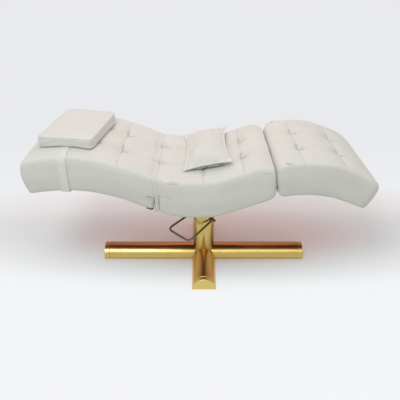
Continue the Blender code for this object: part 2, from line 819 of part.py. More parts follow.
def hinge_pin(name, axis, side, parent):
    """A headed pin through the two links of one side of a hinge."""
    inner = LINK_OUT - FIT_GAP
    outer = CROSS_REACH
    profile = (
        (0, outer + PIN_HEAD_LONG),
        (PIN_HEAD_RADIUS, outer + PIN_HEAD_LONG),
        (PIN_HEAD_RADIUS, outer),
        (PIN_RADIUS, outer),
        (PIN_RADIUS, inner),
        (PIN_HEAD_RADIUS, inner),
        (PIN_HEAD_RADIUS, inner - PIN_HEAD_LONG),
        (0, inner - PIN_HEAD_LONG),
    )
    turn = (-side * math.pi / 2, 0, 0)
    return turned(name, profile, ZINC, axis, turn, SMALL_STEPS, parent, closed=False)


def half_round(radius, floor_lift):
    """Outline of a half-round bar: an arc over a flat floor, both about the beam's centre line."""
    start = math.asin(floor_lift / radius)
    angles = [start + (math.pi - 2 * start) * k / ARC_STEPS for k in range(ARC_STEPS + 1)]
    return [(radius * math.cos(a), FLOOR_CLEAR + radius * math.sin(a)) for a in angles]


def beam(name, start, end, axis, finish):
    """A hollow half-round tube between two distances from the column's axis."""
    loops = [half_round(BEAM_RADIUS, 0), half_round(BEAM_RADIUS - BEAM_WALL, BEAM_WALL)]
    turn = ALONG_X if axis == "X" else ALONG_Y
    middle = (start + end) / 2
    centre = (middle, 0, 0) if axis == "X" else (0, middle, 0)
    return outline_solid(name, loops, (end - start) / 2, turn, centre, finish)


def cope(name, axis, reach):
    """Cutter with a beam's outer shape and a welding gap."""
    turn = ALONG_X if axis == "X" else ALONG_Y
    return outline_solid(name, [half_round(BEAM_RADIUS + FIT_GAP, 0)], reach, turn, (0, 0, 0), None)


def end_cap_mesh():
    """A hollow end cap with a spigot. Its outer face is at the origin and it faces +X."""
    outer = outline_solid(
        "cap_outer", [half_round(BEAM_RADIUS, 0)], CAP_LENGTH / 2, ALONG_X, (-CAP_LENGTH / 2, 0, 0), None
    )
    bevel = outer.modifiers.new("Round", "BEVEL")
    bevel.width = CAP_ROUND
    bevel.segments = 1
    bevel.limit_method = "ANGLE"
    bevel.angle_limit = math.radians(60.0)
    spigot_radius = BEAM_RADIUS - BEAM_WALL - FIT_GAP
    spigot_half = (CAP_SPIGOT + CAP_LENGTH / 2) / 2
    spigot_middle = -CAP_LENGTH - CAP_SPIGOT + spigot_half
    spigot = outline_solid(
        "cap_spigot",
        [half_round(spigot_radius, BEAM_WALL + FIT_GAP)],
        spigot_half,
        ALONG_X,
        (spigot_middle, 0, 0),
        None,
    )
    hollow_start = -CAP_LENGTH - CAP_SPIGOT - CUT_OVERRUN
    hollow_half = (-CAP_WALL - hollow_start) / 2
    hollow = outline_solid(
        "cap_hollow",
        [half_round(spigot_radius - CAP_WALL, BEAM_WALL + FIT_GAP + CAP_WALL)],
        hollow_half,
        ALONG_X,
        (hollow_start + hollow_half, 0, 0),
        None,
    )
    cap = joined(outer, "cap_solid", None, [spigot])
    cut(cap, hollow)
    cap = baked(cap, "cap_mesh", None)
    bpy.data.objects.remove(hollow, do_unlink=True)
    mesh = cap.data
    bpy.data.objects.remove(cap, do_unlink=True)
    mesh.materials.append(finish_material(CAP_GOLD))
    mesh.shade_smooth()
    mesh.set_sharp_from_angle(angle=math.radians(35.0))
    return mesh


def build_cross_base():
    """The welded cross of half-round tubes, its end caps and its glides."""
    cope_x = cope("cope_x", "X", LONG_REACH)
    cope_y = cope("cope_y", "Y", SHORT_REACH)
    access = rod("pump_access", ACCESS_RADIUS, COLUMN_START, COLUMN_TOP, None)
    bolt_holes = [
        rod(f"pump_bolt_hole_{k}", PUMP_BOLT_RADIUS + FIT_GAP, -FLOOR_CLEAR, COLUMN_START, None,
            (*pump_bolt_place(k), 0), steps=SMALL_STEPS)
        for k in range(4)
    ]
    long_end = LONG_REACH - CAP_LENGTH - FIT_GAP
    short_end = SHORT_REACH - CAP_LENGTH - FIT_GAP
    long_beam = beam("long_beam", -long_end, long_end, "X", GOLD)
    cut(long_beam, access, *bolt_holes)
    for name, start, end in (("front_beam", -short_end, 0), ("rear_beam", 0, short_end)):
        cut(beam(name, start, end, "Y", GOLD), cope_x, access)
    for obj in (long_beam, bpy.data.objects["front_beam"], bpy.data.objects["rear_beam"]):
        smooth_round(obj)
    cap_mesh = end_cap_mesh()
    arms = (("right", LONG_REACH, 0), ("rear", SHORT_REACH, 90), ("left", LONG_REACH, 180),
            ("front", SHORT_REACH, 270))
    for name, reach, degrees in arms:
        angle = math.radians(degrees)
        cap = bpy.data.objects.new("end_cap_" + name, cap_mesh)
        cap.location = (reach * math.cos(angle), reach * math.sin(angle), 0)
        cap.rotation_euler.z = angle
        PARTS.objects.link(cap)
        out = reach - GLIDE_INSET
        rod("glide_" + name, GLIDE_RADIUS, 0, GLIDE_TOP, RUBBER,
            (out * math.cos(angle), out * math.sin(angle), 0), steps=SMALL_STEPS)
    rod("glide_centre", GLIDE_RADIUS, 0, GLIDE_TOP, RUBBER, steps=SMALL_STEPS)
    return cope_x, cope_y


def pump_bolt_place(index):
    """Plan position of one of the pump's four bolts."""
    angle = math.radians(45.0 + 90.0 * index)
    return PUMP_BOLT_CIRCLE * math.cos(angle), PUMP_BOLT_CIRCLE * math.sin(angle)


def build_column(cope_x, cope_y):
    """The column tube on the cross, its cap, bush and wiper, and the pump inside it."""
    column = ring("column_tube", COLUMN_BORE, COLUMN_RADIUS, COLUMN_START, COLUMN_TOP, GOLD, steps=COLUMN_STEPS)
    bores = [
        rod(f"lever_bore_{side}", LEVER_BOLT + FIT_GAP, COLUMN_BORE - CUT_OVERRUN,
            COLUMN_RADIUS + CUT_OVERRUN, None, (0, 0, LEVER_AXIS_HEIGHT), lever_turn(side),
            SMALL_STEPS)
        for side in (-1, 1)
    ]
    cut(column, cope_x, cope_y, *bores)
    cap_low = COLUMN_TOP + FIT_GAP
    cap_high = cap_low + CAP_RING_THICK
    bush_radius = RAM_RADIUS + FIT_GAP + BUSH_WALL
    skirt = COLUMN_BORE - FIT_GAP
    profile = (
        (COLUMN_RADIUS - CAP_ROUND, cap_high),
        (COLUMN_RADIUS, cap_high - CAP_ROUND),
        (COLUMN_RADIUS, cap_low),
        (skirt, cap_low),
        (skirt, cap_low - CAP_RING_SKIRT),
        (bush_radius + FIT_GAP, cap_low - CAP_RING_SKIRT),
        (bush_radius + FIT_GAP, cap_high),
    )
    turned("column_cap", profile, PLASTIC, steps=COLUMN_STEPS)
    ring("ram_bush", RAM_RADIUS + FIT_GAP, bush_radius, cap_low - CAP_RING_SKIRT, cap_high, BRASS)
    wiper_low = cap_high + FIT_GAP
    ring("ram_wiper", RAM_RADIUS + FIT_GAP, WIPER_RADIUS, wiper_low, wiper_low + WIPER_THICK, RUBBER)
    flange_low = FLOOR_CLEAR + BEAM_WALL + FIT_GAP
    flange_high = flange_low + PUMP_FLANGE_THICK
    pump_profile = (
        (PUMP_BORE, PUMP_TOP),
        (PUMP_RADIUS, PUMP_TOP),
        (PUMP_RADIUS, flange_high),
        (PUMP_FLANGE_RADIUS, flange_high),
        (PUMP_FLANGE_RADIUS, flange_low),
        (0, flange_low),
        (0, flange_high + PUMP_FLOOR),
        (PUMP_BORE, flange_high + PUMP_FLOOR),
    )
    pump = turned("pump_cylinder", pump_profile, STEEL)
    for k in range(4):
        hole = bpy.data.objects[f"pump_bolt_hole_{k}"]
        cut(pump, hole)
        head_low = flange_high + FIT_GAP
        bolt_profile = (
            (0, head_low + PUMP_BOLT_HEAD_HIGH),
            (PUMP_BOLT_HEAD, head_low + PUMP_BOLT_HEAD_HIGH),
            (PUMP_BOLT_HEAD, head_low),
            (PUMP_BOLT_RADIUS, head_low),
            (PUMP_BOLT_RADIUS, FLOOR_CLEAR),
            (0, FLOOR_CLEAR),
        )
        turned(f"pump_bolt_{k + 1}", bolt_profile, ZINC, (*pump_bolt_place(k), 0), steps=6, closed=False)
    gland_profile = (
        (PUMP_RADIUS, PUMP_TOP + FIT_GAP + GLAND_LIP),
        (PUMP_RADIUS, PUMP_TOP + FIT_GAP),
        (PUMP_BORE - FIT_GAP, PUMP_TOP + FIT_GAP),
        (PUMP_BORE - FIT_GAP, PUMP_TOP - GLAND_LENGTH),
        (RAM_RADIUS + FIT_GAP, PUMP_TOP - GLAND_LENGTH),
        (RAM_RADIUS + FIT_GAP, PUMP_TOP + FIT_GAP + GLAND_LIP),
    )
    turned("pump_gland", gland_profile, BRASS)


def lever_turn(side):
    """Rotation that lays a turned piece's own axis along the lever's axis, outwards on this side."""
    return (0, side * math.pi / 2, LEVER_TURN)


def build_lever():
    """The U-shaped foot lever and the two bolts that it turns on."""
    pivot = axis_empty("lever_pivot", (0, 0, LEVER_AXIS_HEIGHT))
    half = LEVER_SPREAD / 2
    outer = LEVER_OPEN / 2
    bend = LEVER_BEND
    arm_share = (LEVER_REACH - bend) / LEVER_REACH
    route = [(half, 0, 0), (outer, -LEVER_REACH * arm_share, -LEVER_FALL * arm_share)]
    for step in range(1, 5):
        angle = math.pi / 2 * step / 4
        out = LEVER_REACH - bend + bend * math.sin(angle)
        route.append((outer - bend + bend * math.cos(angle), -out, -LEVER_FALL * out / LEVER_REACH))
    route += [(-x, y, z) for x, y, z in reversed(route)]
    curve = bpy.data.curves.new("lever_rod", "CURVE")
    curve.dimensions = "3D"
    curve.bevel_depth = LEVER_ROD
    curve.bevel_resolution = 2
    curve.use_fill_caps = True
    spline = curve.splines.new("POLY")
    spline.points.add(len(route) - 1)
    for point, place_at in zip(spline.points, route):
        point.co = (*place_at, 1)
    obj = bpy.data.objects.new("lever_rod", curve)
    CUTTERS.objects.link(obj)
    obj.location = pivot.location
    obj.rotation_euler.z = LEVER_TURN
    loop = baked(obj, "lever_rod_mesh", None)
    boss_low = COLUMN_RADIUS + FIT_GAP
    boss_high = LEVER_SPREAD / 2 + LEVER_ROD + FIT_GAP
    bosses = [
        rod(f"lever_boss_{side}", LEVER_BOSS, boss_low, boss_high, None, pivot.location,
            lever_turn(side), SMALL_STEPS)
        for side in (-1, 1)
    ]
    loop = joined(loop, "lever_loop", BRONZE, bosses, pivot)
    for side, name in ((-1, "left"), (1, "right")):
        cut(loop, rod(f"boss_bore_{side}", LEVER_BOLT + FIT_GAP, COLUMN_BORE, boss_high + CUT_OVERRUN,
                      None, pivot.location, lever_turn(side), SMALL_STEPS))
        head_low = boss_high + FIT_GAP
        profile = (
            (0, head_low + LEVER_BOLT_HEAD_LONG),
            (LEVER_BOLT_HEAD, head_low + LEVER_BOLT_HEAD_LONG),
            (LEVER_BOLT_HEAD, head_low),
            (LEVER_BOLT, head_low),
            (LEVER_BOLT, COLUMN_BORE - LEVER_BOLT_INSIDE),
            (0, COLUMN_BORE - LEVER_BOLT_INSIDE),
        )
        turned(f"lever_bolt_{name}", profile, BRONZE, pivot.location, lever_turn(side), SMALL_STEPS,
               closed=False)
    smooth_round(loop)


def build_lift(lift):
    """The ram, its piston and the thrust bearing, which rise together."""
    spigot_high = HUB_TOP - FIT_GAP
    profile = (
        (0, spigot_high),
        (SPIGOT_RADIUS, spigot_high),
        (SPIGOT_RADIUS, RAM_SHOULDER),
        (RAM_RADIUS, RAM_SHOULDER),
        (RAM_RADIUS, RAM_FOOT),
        (0, RAM_FOOT),
    )
    turned("lift_ram", profile, CHROME, parent=lift, closed=False)
    piston_high = RAM_FOOT - FIT_GAP
    rod("lift_piston", PUMP_BORE - FIT_GAP, piston_high - PISTON_THICK, piston_high, RUBBER, parent=lift)
    thrust_low = RAM_SHOULDER + FIT_GAP
    ring("thrust_bearing", SPIGOT_RADIUS + FIT_GAP, THRUST_RADIUS, thrust_low,
         thrust_low + THRUST_THICK, ZINC, lift)


def build_swivel(seat):
    """The hub that turns on the ram, and the plate that the seat's frame is bolted to."""
    bore = SPIGOT_RADIUS + HUB_BORE_GAP
    profile = (
        (HUB_TOP_RADIUS, HUB_TOP),
        (HUB_TOP_RADIUS, HUB_TOP - HUB_RIM),
        (HUB_LOW_RADIUS, HUB_LOW + HUB_RIM),
        (HUB_LOW_RADIUS, HUB_LOW),
        (bore, HUB_LOW),
        (bore, HUB_TOP),
    )
    turned("swivel_hub", profile, STEEL, parent=seat)
    plate = block("mounting_plate", (-PLATE_LONG / 2, -PLATE_WIDE / 2, PLATE_LOW),
                  (PLATE_LONG / 2, PLATE_WIDE / 2, PLATE_TOP), STEEL, seat)
    bevel = plate.modifiers.new("Round", "BEVEL")
    bevel.width = PLATE_EDGE_ROUND
    bevel.segments = 1
    number = 0
    holes = []
    for along in (-1, 1):
        for across in (-1, 1):
            number += 1
            centre = (along * SADDLE_OUT, across * PLATE_BOLT_OUT, 0)
            head_high = PLATE_LOW - FIT_GAP
            profile = (
                (0, head_high + PLATE_BOLT_LONG),
                (PLATE_BOLT_RADIUS, head_high + PLATE_BOLT_LONG),
                (PLATE_BOLT_RADIUS, head_high),
                (PLATE_BOLT_HEAD, head_high),
                (PLATE_BOLT_HEAD, head_high - PLATE_BOLT_HEAD_HIGH),
                (0, head_high - PLATE_BOLT_HEAD_HIGH),
            )
            turned(f"plate_bolt_{number}", profile, ZINC, centre, steps=6, parent=seat, closed=False)
            hole = rod(f"plate_hole_{number}", PLATE_BOLT_RADIUS + FIT_GAP, head_high - CUT_OVERRUN,
                       head_high + PLATE_BOLT_LONG + FIT_GAP, None, centre, steps=SMALL_STEPS)
            cut(plate, hole)
            holes.append(hole)
    return holes


def saddle_shapes():
    """The two broad bars between the seat's rails that the mounting plate is bolted under."""
    shapes = []
    for side in (-1, 1):
        left = side * SADDLE_OUT - SADDLE_WIDE / 2
        right = side * SADDLE_OUT + SADDLE_WIDE / 2
        high = min(underline(left), underline(right)) + RAIL_LOW + RAIL_DEEP / 2
        reach = RAIL_OUT
        low = PLATE_TOP + FIT_GAP
        shapes.append(block(f"saddle_{side}", (left, -reach, low), (right, reach, high), None))
    return shapes


def build_seat(seat):
    """The seat section with its frame and the pins of both hinges."""
    holes = build_swivel(seat)
    back_knee = BACK_AXIS.x
    leg_knee = LEG_AXIS.x - SEAT_KNEE_BACK
    left, right = frame_ends(seat_pad)
    links = link_shapes("back_ear", BACK_AXIS, back_knee, left + CROSS_WIDE / 2, LINK_MIDDLE)
    links += link_shapes("leg_ear", LEG_AXIS, leg_knee, right - CROSS_WIDE / 2, LINK_MIDDLE)
    bores = pin_bores("back_pin_bore", BACK_AXIS) + pin_bores("leg_pin_bore", LEG_AXIS)
    frame(seat_pad, links, bores + holes, saddle_shapes(), seat)
    pockets = []
    for side in (-1, 1):
        knee = (back_knee, underline(back_knee) - KNEE_DROP)
        pockets.append(pocket(f"seat_back_pocket_{side}", BACK_AXIS, knee, LINK_EYE + POCKET_MARGIN,
                              side))
        knee = (leg_knee, underline(leg_knee) - KNEE_DROP)
        pockets.append(pocket(f"seat_leg_pocket_{side}", LEG_AXIS, knee,
                              LINK_EYE + LEG_POCKET_MARGIN, side))
    cushion(seat_pad, pockets, seat)
    for side, place_name in ((-1, "near"), (1, "far")):
        hinge_pin("back_hinge_pin_" + place_name, BACK_AXIS, side, seat)
        hinge_pin("leg_hinge_pin_" + place_name, LEG_AXIS, side, seat)
    badge = block("badge_plate", (-BADGE_LONG / 2, -BADGE_THICK / 2, -BADGE_HIGH / 2),
                  (BADGE_LONG / 2, BADGE_THICK / 2, BADGE_HIGH / 2), GOLD, seat)
    top = underline(-BADGE_MIDDLE) + SEAT_DEPTH
    badge.location = (-BADGE_MIDDLE, BADGE_INSET - HALF_WIDTH, top - BADGE_SINK)
    badge.rotation_euler.x = -BADGE_LEAN


def section(pad, axis, knee_x, bar_x, margin, parent):
    """A hinged section: its frame with links on the seat's pins, and its cushion."""
    links = link_shapes(pad.name + "_arm", axis, knee_x, bar_x, ARM_MIDDLE)
    frame(pad, links, pin_bores(pad.name + "_bore", axis), [], parent)
    knee = (knee_x, underline(knee_x) - KNEE_DROP)
    pockets = [
        pocket(f"{pad.name}_pocket_{side}", axis, knee, LINK_EYE + margin, side)
        for side in (-1, 1)
    ]
    cushion(pad, pockets, parent)


def strap_loop(grow):
    """Section of the head strap round the backrest, grown by its thickness where asked."""
    x = -STRAP_MIDDLE
    low = underline(x - STRAP_WIDE / 2) - STRAP_HANG - grow
    high = underline(x) + BACK_DEPTH + SOFT_GAP + grow
    half = HALF_WIDTH + SIDE_SWELL + SOFT_GAP + grow
    loop = []
    for side_y, side_z, inner_corner, first in (
        (1, 1, STRAP_CORNER, 0),
        (-1, 1, STRAP_CORNER, 90),
        (-1, -1, STRAP_LOW_CORNER, 180),
        (1, -1, STRAP_LOW_CORNER, 270),
    ):
        corner = inner_corner + grow
        centre_y = side_y * (half - corner)
        centre_z = high - corner if side_z > 0 else low + corner
        for step in range(STRAP_CORNER_STEPS + 1):
            angle = math.radians(first + 90.0 * step / STRAP_CORNER_STEPS)
            loop.append((centre_y + corner * math.cos(angle), centre_z + corner * math.sin(angle)))
    return loop


def pillow_bottom(x):
    """Height at which the head pillow lies, just over the strap and the backrest."""
    return underline(x) + BACK_DEPTH + SOFT_GAP + STRAP_THICK + PILLOW_REST


def build_head_pillow(back):
    """The flat head pillow: a cover with a zip opening, its foam, and the strap that holds it."""
    bm = bmesh.new()
    turn = Matrix.Rotation(PILLOW_TURN, 3, "Z")
    parts_long, parts_wide = PILLOW_PARTS_LONG, PILLOW_PARTS_WIDE
    levels = ((0, 0), (0.5, PILLOW_SWELL), (1, 0))
    grid = {}
    for level, (level_share, swell) in enumerate(levels):
        for i in range(parts_long + 1):
            for j in range(parts_wide + 1):
                inside = 0 < i < parts_long and 0 < j < parts_wide
                if inside and level == 1:
                    continue
                u = 2 * i / parts_long - 1
                v = 2 * j / parts_wide - 1
                across = Vector((u * (PILLOW_LONG / 2 + swell), v * (PILLOW_WIDE / 2 + swell), 0))
                spot = turn @ across
                x = spot.x - PILLOW_MIDDLE
                crown = PILLOW_CROWN * (1 - u * u) * (1 - v * v) if level == 2 else 0
                z = pillow_bottom(x) + PILLOW_THICK * level_share + crown
                grid[level, i, j] = bm.verts.new((x, spot.y, z))
    edge = [(i, 0) for i in range(parts_long)] + [(parts_long, j) for j in range(parts_wide)]
    edge += [(i, parts_wide) for i in range(parts_long, 0, -1)]
    edge += [(0, j) for j in range(parts_wide, 0, -1)]
    for level in (0, 2):
        for i in range(parts_long):
            for j in range(parts_wide):
                bm.faces.new([grid[level, i + a, j + b] for a, b in ((0, 0), (1, 0), (1, 1), (0, 1))])
    for level in (0, 1):
        for at, after in zip(edge, edge[1:] + edge[:1]):
            bm.faces.new((grid[(level, *at)], grid[(level, *after)],
                          grid[(level + 1, *after)], grid[(level + 1, *at)]))
    for level in (0, 2):
        crease_ring(bm, [grid[(level, *at)] for at in edge], PILLOW_EDGE_CREASE)
    cover = object_of("head_pillow_cover", bm, PILLOW_CLOTH, back)
    cover.data.shade_smooth()
    subdivided(cover)

    def slab(name, inset, lift, finish, parent=None):
        half_long = PILLOW_LONG / 2 - inset
        places = [-PILLOW_MIDDLE + half_long * (k / 2 - 1) for k in range(5)]
        low = [(x + PILLOW_MIDDLE, pillow_bottom(x) + lift) for x in places]
        high = [(x + PILLOW_MIDDLE, pillow_bottom(x) + PILLOW_THICK - lift) for x in reversed(places)]
        turn_out = (math.pi / 2, 0, PILLOW_TURN)
        return outline_solid(name, [low + high], PILLOW_WIDE / 2 - inset, turn_out,
                             (-PILLOW_MIDDLE, 0, 0), finish, parent)

    zip_slot = block("pillow_zip", (-PILLOW_ZIP_HIGH, -PILLOW_ZIP_LONG / 2, -PILLOW_ZIP_HIGH / 2),
                     (PILLOW_LONG, PILLOW_ZIP_LONG / 2, PILLOW_ZIP_HIGH / 2), None)
    zip_slot.location = (-PILLOW_MIDDLE, 0, pillow_bottom(PILLOW_LONG / 2 - PILLOW_MIDDLE) + PILLOW_THICK / 2)
    zip_slot.rotation_euler.z = PILLOW_TURN
    cut_curved(cover, slab("pillow_hollow", PILLOW_WALL, PILLOW_WALL, None), zip_slot)
    slab("head_pillow_foam", PILLOW_WALL + SOFT_GAP, PILLOW_WALL + SOFT_GAP, FOAM, back)
    outline_solid("head_strap", [strap_loop(STRAP_THICK), strap_loop(0)], STRAP_WIDE / 2, ALONG_X,
                  (-STRAP_MIDDLE, 0, 0), CLOTH, back)


def build_lumbar_pillow(seat):
    """The loose pillow on the seat: two domes on one sewn edge, with drawn-in sides."""
    half_thick = LUMBAR_THICK / 2
    height = underline(LUMBAR_MIDDLE) + SEAT_DEPTH + half_thick - LUMBAR_SETTLE
    lift = axis_empty("lumbar_lift", (LUMBAR_MIDDLE, LUMBAR_ACROSS, height), seat)
    bm = bmesh.new()
    grid = {}
    parts = LUMBAR_PARTS
    for i in range(parts + 1):
        for j in range(parts + 1):
            u = math.sin(math.pi / 2 * (2 * i / parts - 1))
            v = math.sin(math.pi / 2 * (2 * j / parts - 1))
            x = u * (LUMBAR_LONG / 2 - LUMBAR_PINCH * (1 - v * v))
            y = v * (LUMBAR_WIDE / 2 - LUMBAR_PINCH * (1 - u * u))
            dome = half_thick * math.sqrt(max(1 - u * u, 0) * max(1 - v * v, 0))
            on_edge = i in (0, parts) or j in (0, parts)
            grid[1, i, j] = bm.verts.new((x, y, 0 if on_edge else dome))
            grid[-1, i, j] = grid[1, i, j] if on_edge else bm.verts.new((x, y, -dome))
    for side in (1, -1):
        for i in range(parts):
            for j in range(parts):
                bm.faces.new([grid[side, i + a, j + b] for a, b in ((0, 0), (1, 0), (1, 1), (0, 1))])
    rim = [(i, 0) for i in range(parts)] + [(parts, j) for j in range(parts)]
    rim += [(i, parts) for i in range(parts, 0, -1)] + [(0, j) for j in range(parts, 0, -1)]
    crease_ring(bm, [grid[(1, *at)] for at in rim], 1.0)
    turn = Matrix.Translation(lift.location) @ Matrix.Rotation(LUMBAR_TURN, 4, "Z")
    bm.transform(turn @ Matrix.Rotation(LUMBAR_TILT, 4, "Y"))
    pillow = object_of("lumbar_pillow", bm, PILLOW_CLOTH, lift)
    pillow.data.shade_smooth()
    subdivided(pillow)


def build():
    """Builds the bed from the floor up."""
    copes = build_cross_base()
    build_column(*copes)
    build_lever()
    lift = axis_empty("lift_axis", (0, 0, 0))
    build_lift(lift)
    seat = axis_empty("seat_swivel", (0, 0, 0), lift)
    build_seat(seat)
    back = axis_empty("back_pivot", BACK_AXIS, seat)
    back_left, back_right = frame_ends(back_pad)
    section(back_pad, BACK_AXIS, -BACK_PIVOT_OUT - BACK_NOTCH, back_right - CROSS_WIDE / 2,
            POCKET_MARGIN, back)
    build_head_pillow(back)
    leg = axis_empty("leg_pivot", LEG_AXIS, seat)
    leg_left, leg_right = frame_ends(leg_pad)
    section(leg_pad, LEG_AXIS, LEG_AXIS.x + LEG_KNEE_OUT, leg_left + CROSS_WIDE / 2,
            LEG_POCKET_MARGIN, leg)
    build_lumbar_pillow(seat)


build()
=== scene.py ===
"""Looks of the beauty bed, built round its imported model.

World axes follow the model: X along the bed towards the foot end, -Y the side with the badge, +Z up, in
metres, with the origin on the floor on the column's axis.
"""

from __future__ import annotations

import json
import logging
import math
from collections.abc import Iterable, Sequence
from dataclasses import dataclass, field
from enum import Enum

import bmesh
import bpy
import numpy as np
from mathutils import Matrix, Vector, noise
from mathutils.bvhtree import BVHTree

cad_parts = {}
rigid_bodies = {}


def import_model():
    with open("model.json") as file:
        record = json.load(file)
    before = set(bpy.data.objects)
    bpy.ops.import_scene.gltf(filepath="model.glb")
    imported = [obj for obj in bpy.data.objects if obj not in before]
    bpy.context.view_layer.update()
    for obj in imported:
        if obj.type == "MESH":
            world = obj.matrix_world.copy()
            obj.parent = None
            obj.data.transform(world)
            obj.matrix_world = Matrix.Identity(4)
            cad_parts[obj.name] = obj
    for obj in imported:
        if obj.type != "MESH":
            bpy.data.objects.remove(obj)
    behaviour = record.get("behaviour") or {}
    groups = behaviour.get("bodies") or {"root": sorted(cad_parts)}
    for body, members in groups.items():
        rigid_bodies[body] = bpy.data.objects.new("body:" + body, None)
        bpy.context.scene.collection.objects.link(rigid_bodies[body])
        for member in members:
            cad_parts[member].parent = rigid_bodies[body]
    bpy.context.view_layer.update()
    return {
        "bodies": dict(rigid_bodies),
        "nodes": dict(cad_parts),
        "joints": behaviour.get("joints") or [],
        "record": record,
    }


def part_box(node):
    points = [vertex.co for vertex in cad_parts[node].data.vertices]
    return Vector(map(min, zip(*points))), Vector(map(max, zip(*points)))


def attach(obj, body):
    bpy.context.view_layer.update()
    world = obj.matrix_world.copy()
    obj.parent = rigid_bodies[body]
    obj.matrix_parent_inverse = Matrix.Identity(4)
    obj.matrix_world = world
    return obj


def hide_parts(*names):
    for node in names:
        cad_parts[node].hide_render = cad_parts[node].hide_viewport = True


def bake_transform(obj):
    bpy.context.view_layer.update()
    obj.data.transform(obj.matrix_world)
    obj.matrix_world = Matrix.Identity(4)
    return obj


LOG = logging.getLogger("beauty_bed")

Point = tuple[float, float, float]
Colour = tuple[float, float, float]
Span = tuple[float, float]
Profile = tuple[Span, ...]

MIDDLE_HALF = (0.30, 0.70)


class Body(str, Enum):
    """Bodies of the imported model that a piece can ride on."""

    BASE = "base"
    LEVER = "lever"
    SEAT = "seat"
    BACKREST = "backrest"
    LEG_REST = "leg_rest"
    LOOSE_PILLOW = "loose_pillow"


class Slot(str, Enum):
    """Material slots of the record."""

    FABRIC = "fabric"
    PILLOW_FABRIC = "pillow_fabric"
    STRAP_FABRIC = "strap_fabric"
    PLYWOOD = "plywood"
    LINING = "lining"
    BLACK_STEEL = "black_steel"
    GOLD_PLATE = "gold_plate"
    BRUSHED_GOLD = "brushed_gold"
    SATIN_GOLD = "satin_gold"
    BLACK_PLASTIC = "black_plastic"
    BRONZE_BUSH = "bronze_bush"
    BLACK_RUBBER = "black_rubber"
    CHROME = "chrome"
    ZINC_STEEL = "zinc_steel"
    DARK_BRONZE = "dark_bronze"


class Axis(Enum):
    """World axes, as indices of a vector."""

    X = 0
    Y = 1
    Z = 2


# Shader maths


class Socket:
    """One output of a shader node. Sums of sockets add Math nodes to the graph."""

    def __init__(self, graph: ShaderGraph, output: bpy.types.NodeSocket) -> None:
        """Wraps an output."""
        self.graph = graph
        self.output = output

    def math(self, operation: str, *others: Socket | float) -> Socket:
        """Adds one Math node."""
        return self.graph.math(operation, self, *others)

    def __add__(self, other: Socket | float) -> Socket:
        """Returns the sum of two values."""
        return self.math("ADD", other)

    __radd__ = __add__

    def __sub__(self, other: Socket | float) -> Socket:
        """Returns this value less another."""
        return self.math("SUBTRACT", other)

    def __rsub__(self, other: float) -> Socket:
        """Returns a number less this value."""
        return self.graph.math("SUBTRACT", other, self)

    def __mul__(self, other: Socket | float) -> Socket:
        """Returns the product of two values."""
        return self.math("MULTIPLY", other)

    __rmul__ = __mul__

    def __pow__(self, other: Socket | float) -> Socket:
        """Returns this value raised to a power."""
        return self.math("POWER", other)

    def sine(self) -> Socket:
        """Returns the sine of this value, in radians."""
        return self.math("SINE")

    def magnitude(self) -> Socket:
        """Returns this value without its sign."""
        return self.math("ABSOLUTE")

    def between(self, low: float, high: float) -> Socket:
        """Maps a range smoothly to 0 to 1."""
        inputs = {"Value": self, "From Min": low, "From Max": high}
        return self.graph.node("ShaderNodeMapRange", inputs, interpolation_type="SMOOTHSTEP")

    def within(self, low: float, high: float) -> Socket:
        """Maps a range smoothly to 1 to 0."""
        return 1.0 - self.between(low, high)

    def spread(self, low: float, high: float) -> Socket:
        """Maps 0 to 1 evenly to a range."""
        return self * (high - low) + low

    def wave(self, length: float) -> Socket:
        """Returns sine waves of a length over this value, from -1 to 1."""
        return (self * (2.0 * math.pi / length)).sine()

    def ripple(self, length: float, depth: float = 0.5) -> Socket:
        """Returns waves of a length over this value that reach up to 1."""
        return self.wave(length) * depth + (1.0 - depth)

    def part(self, name: str | int) -> Socket:
        """Another output of the same node."""
        return Socket(self.graph, self.output.node.outputs[name])


Value = Socket | float | Sequence[float]


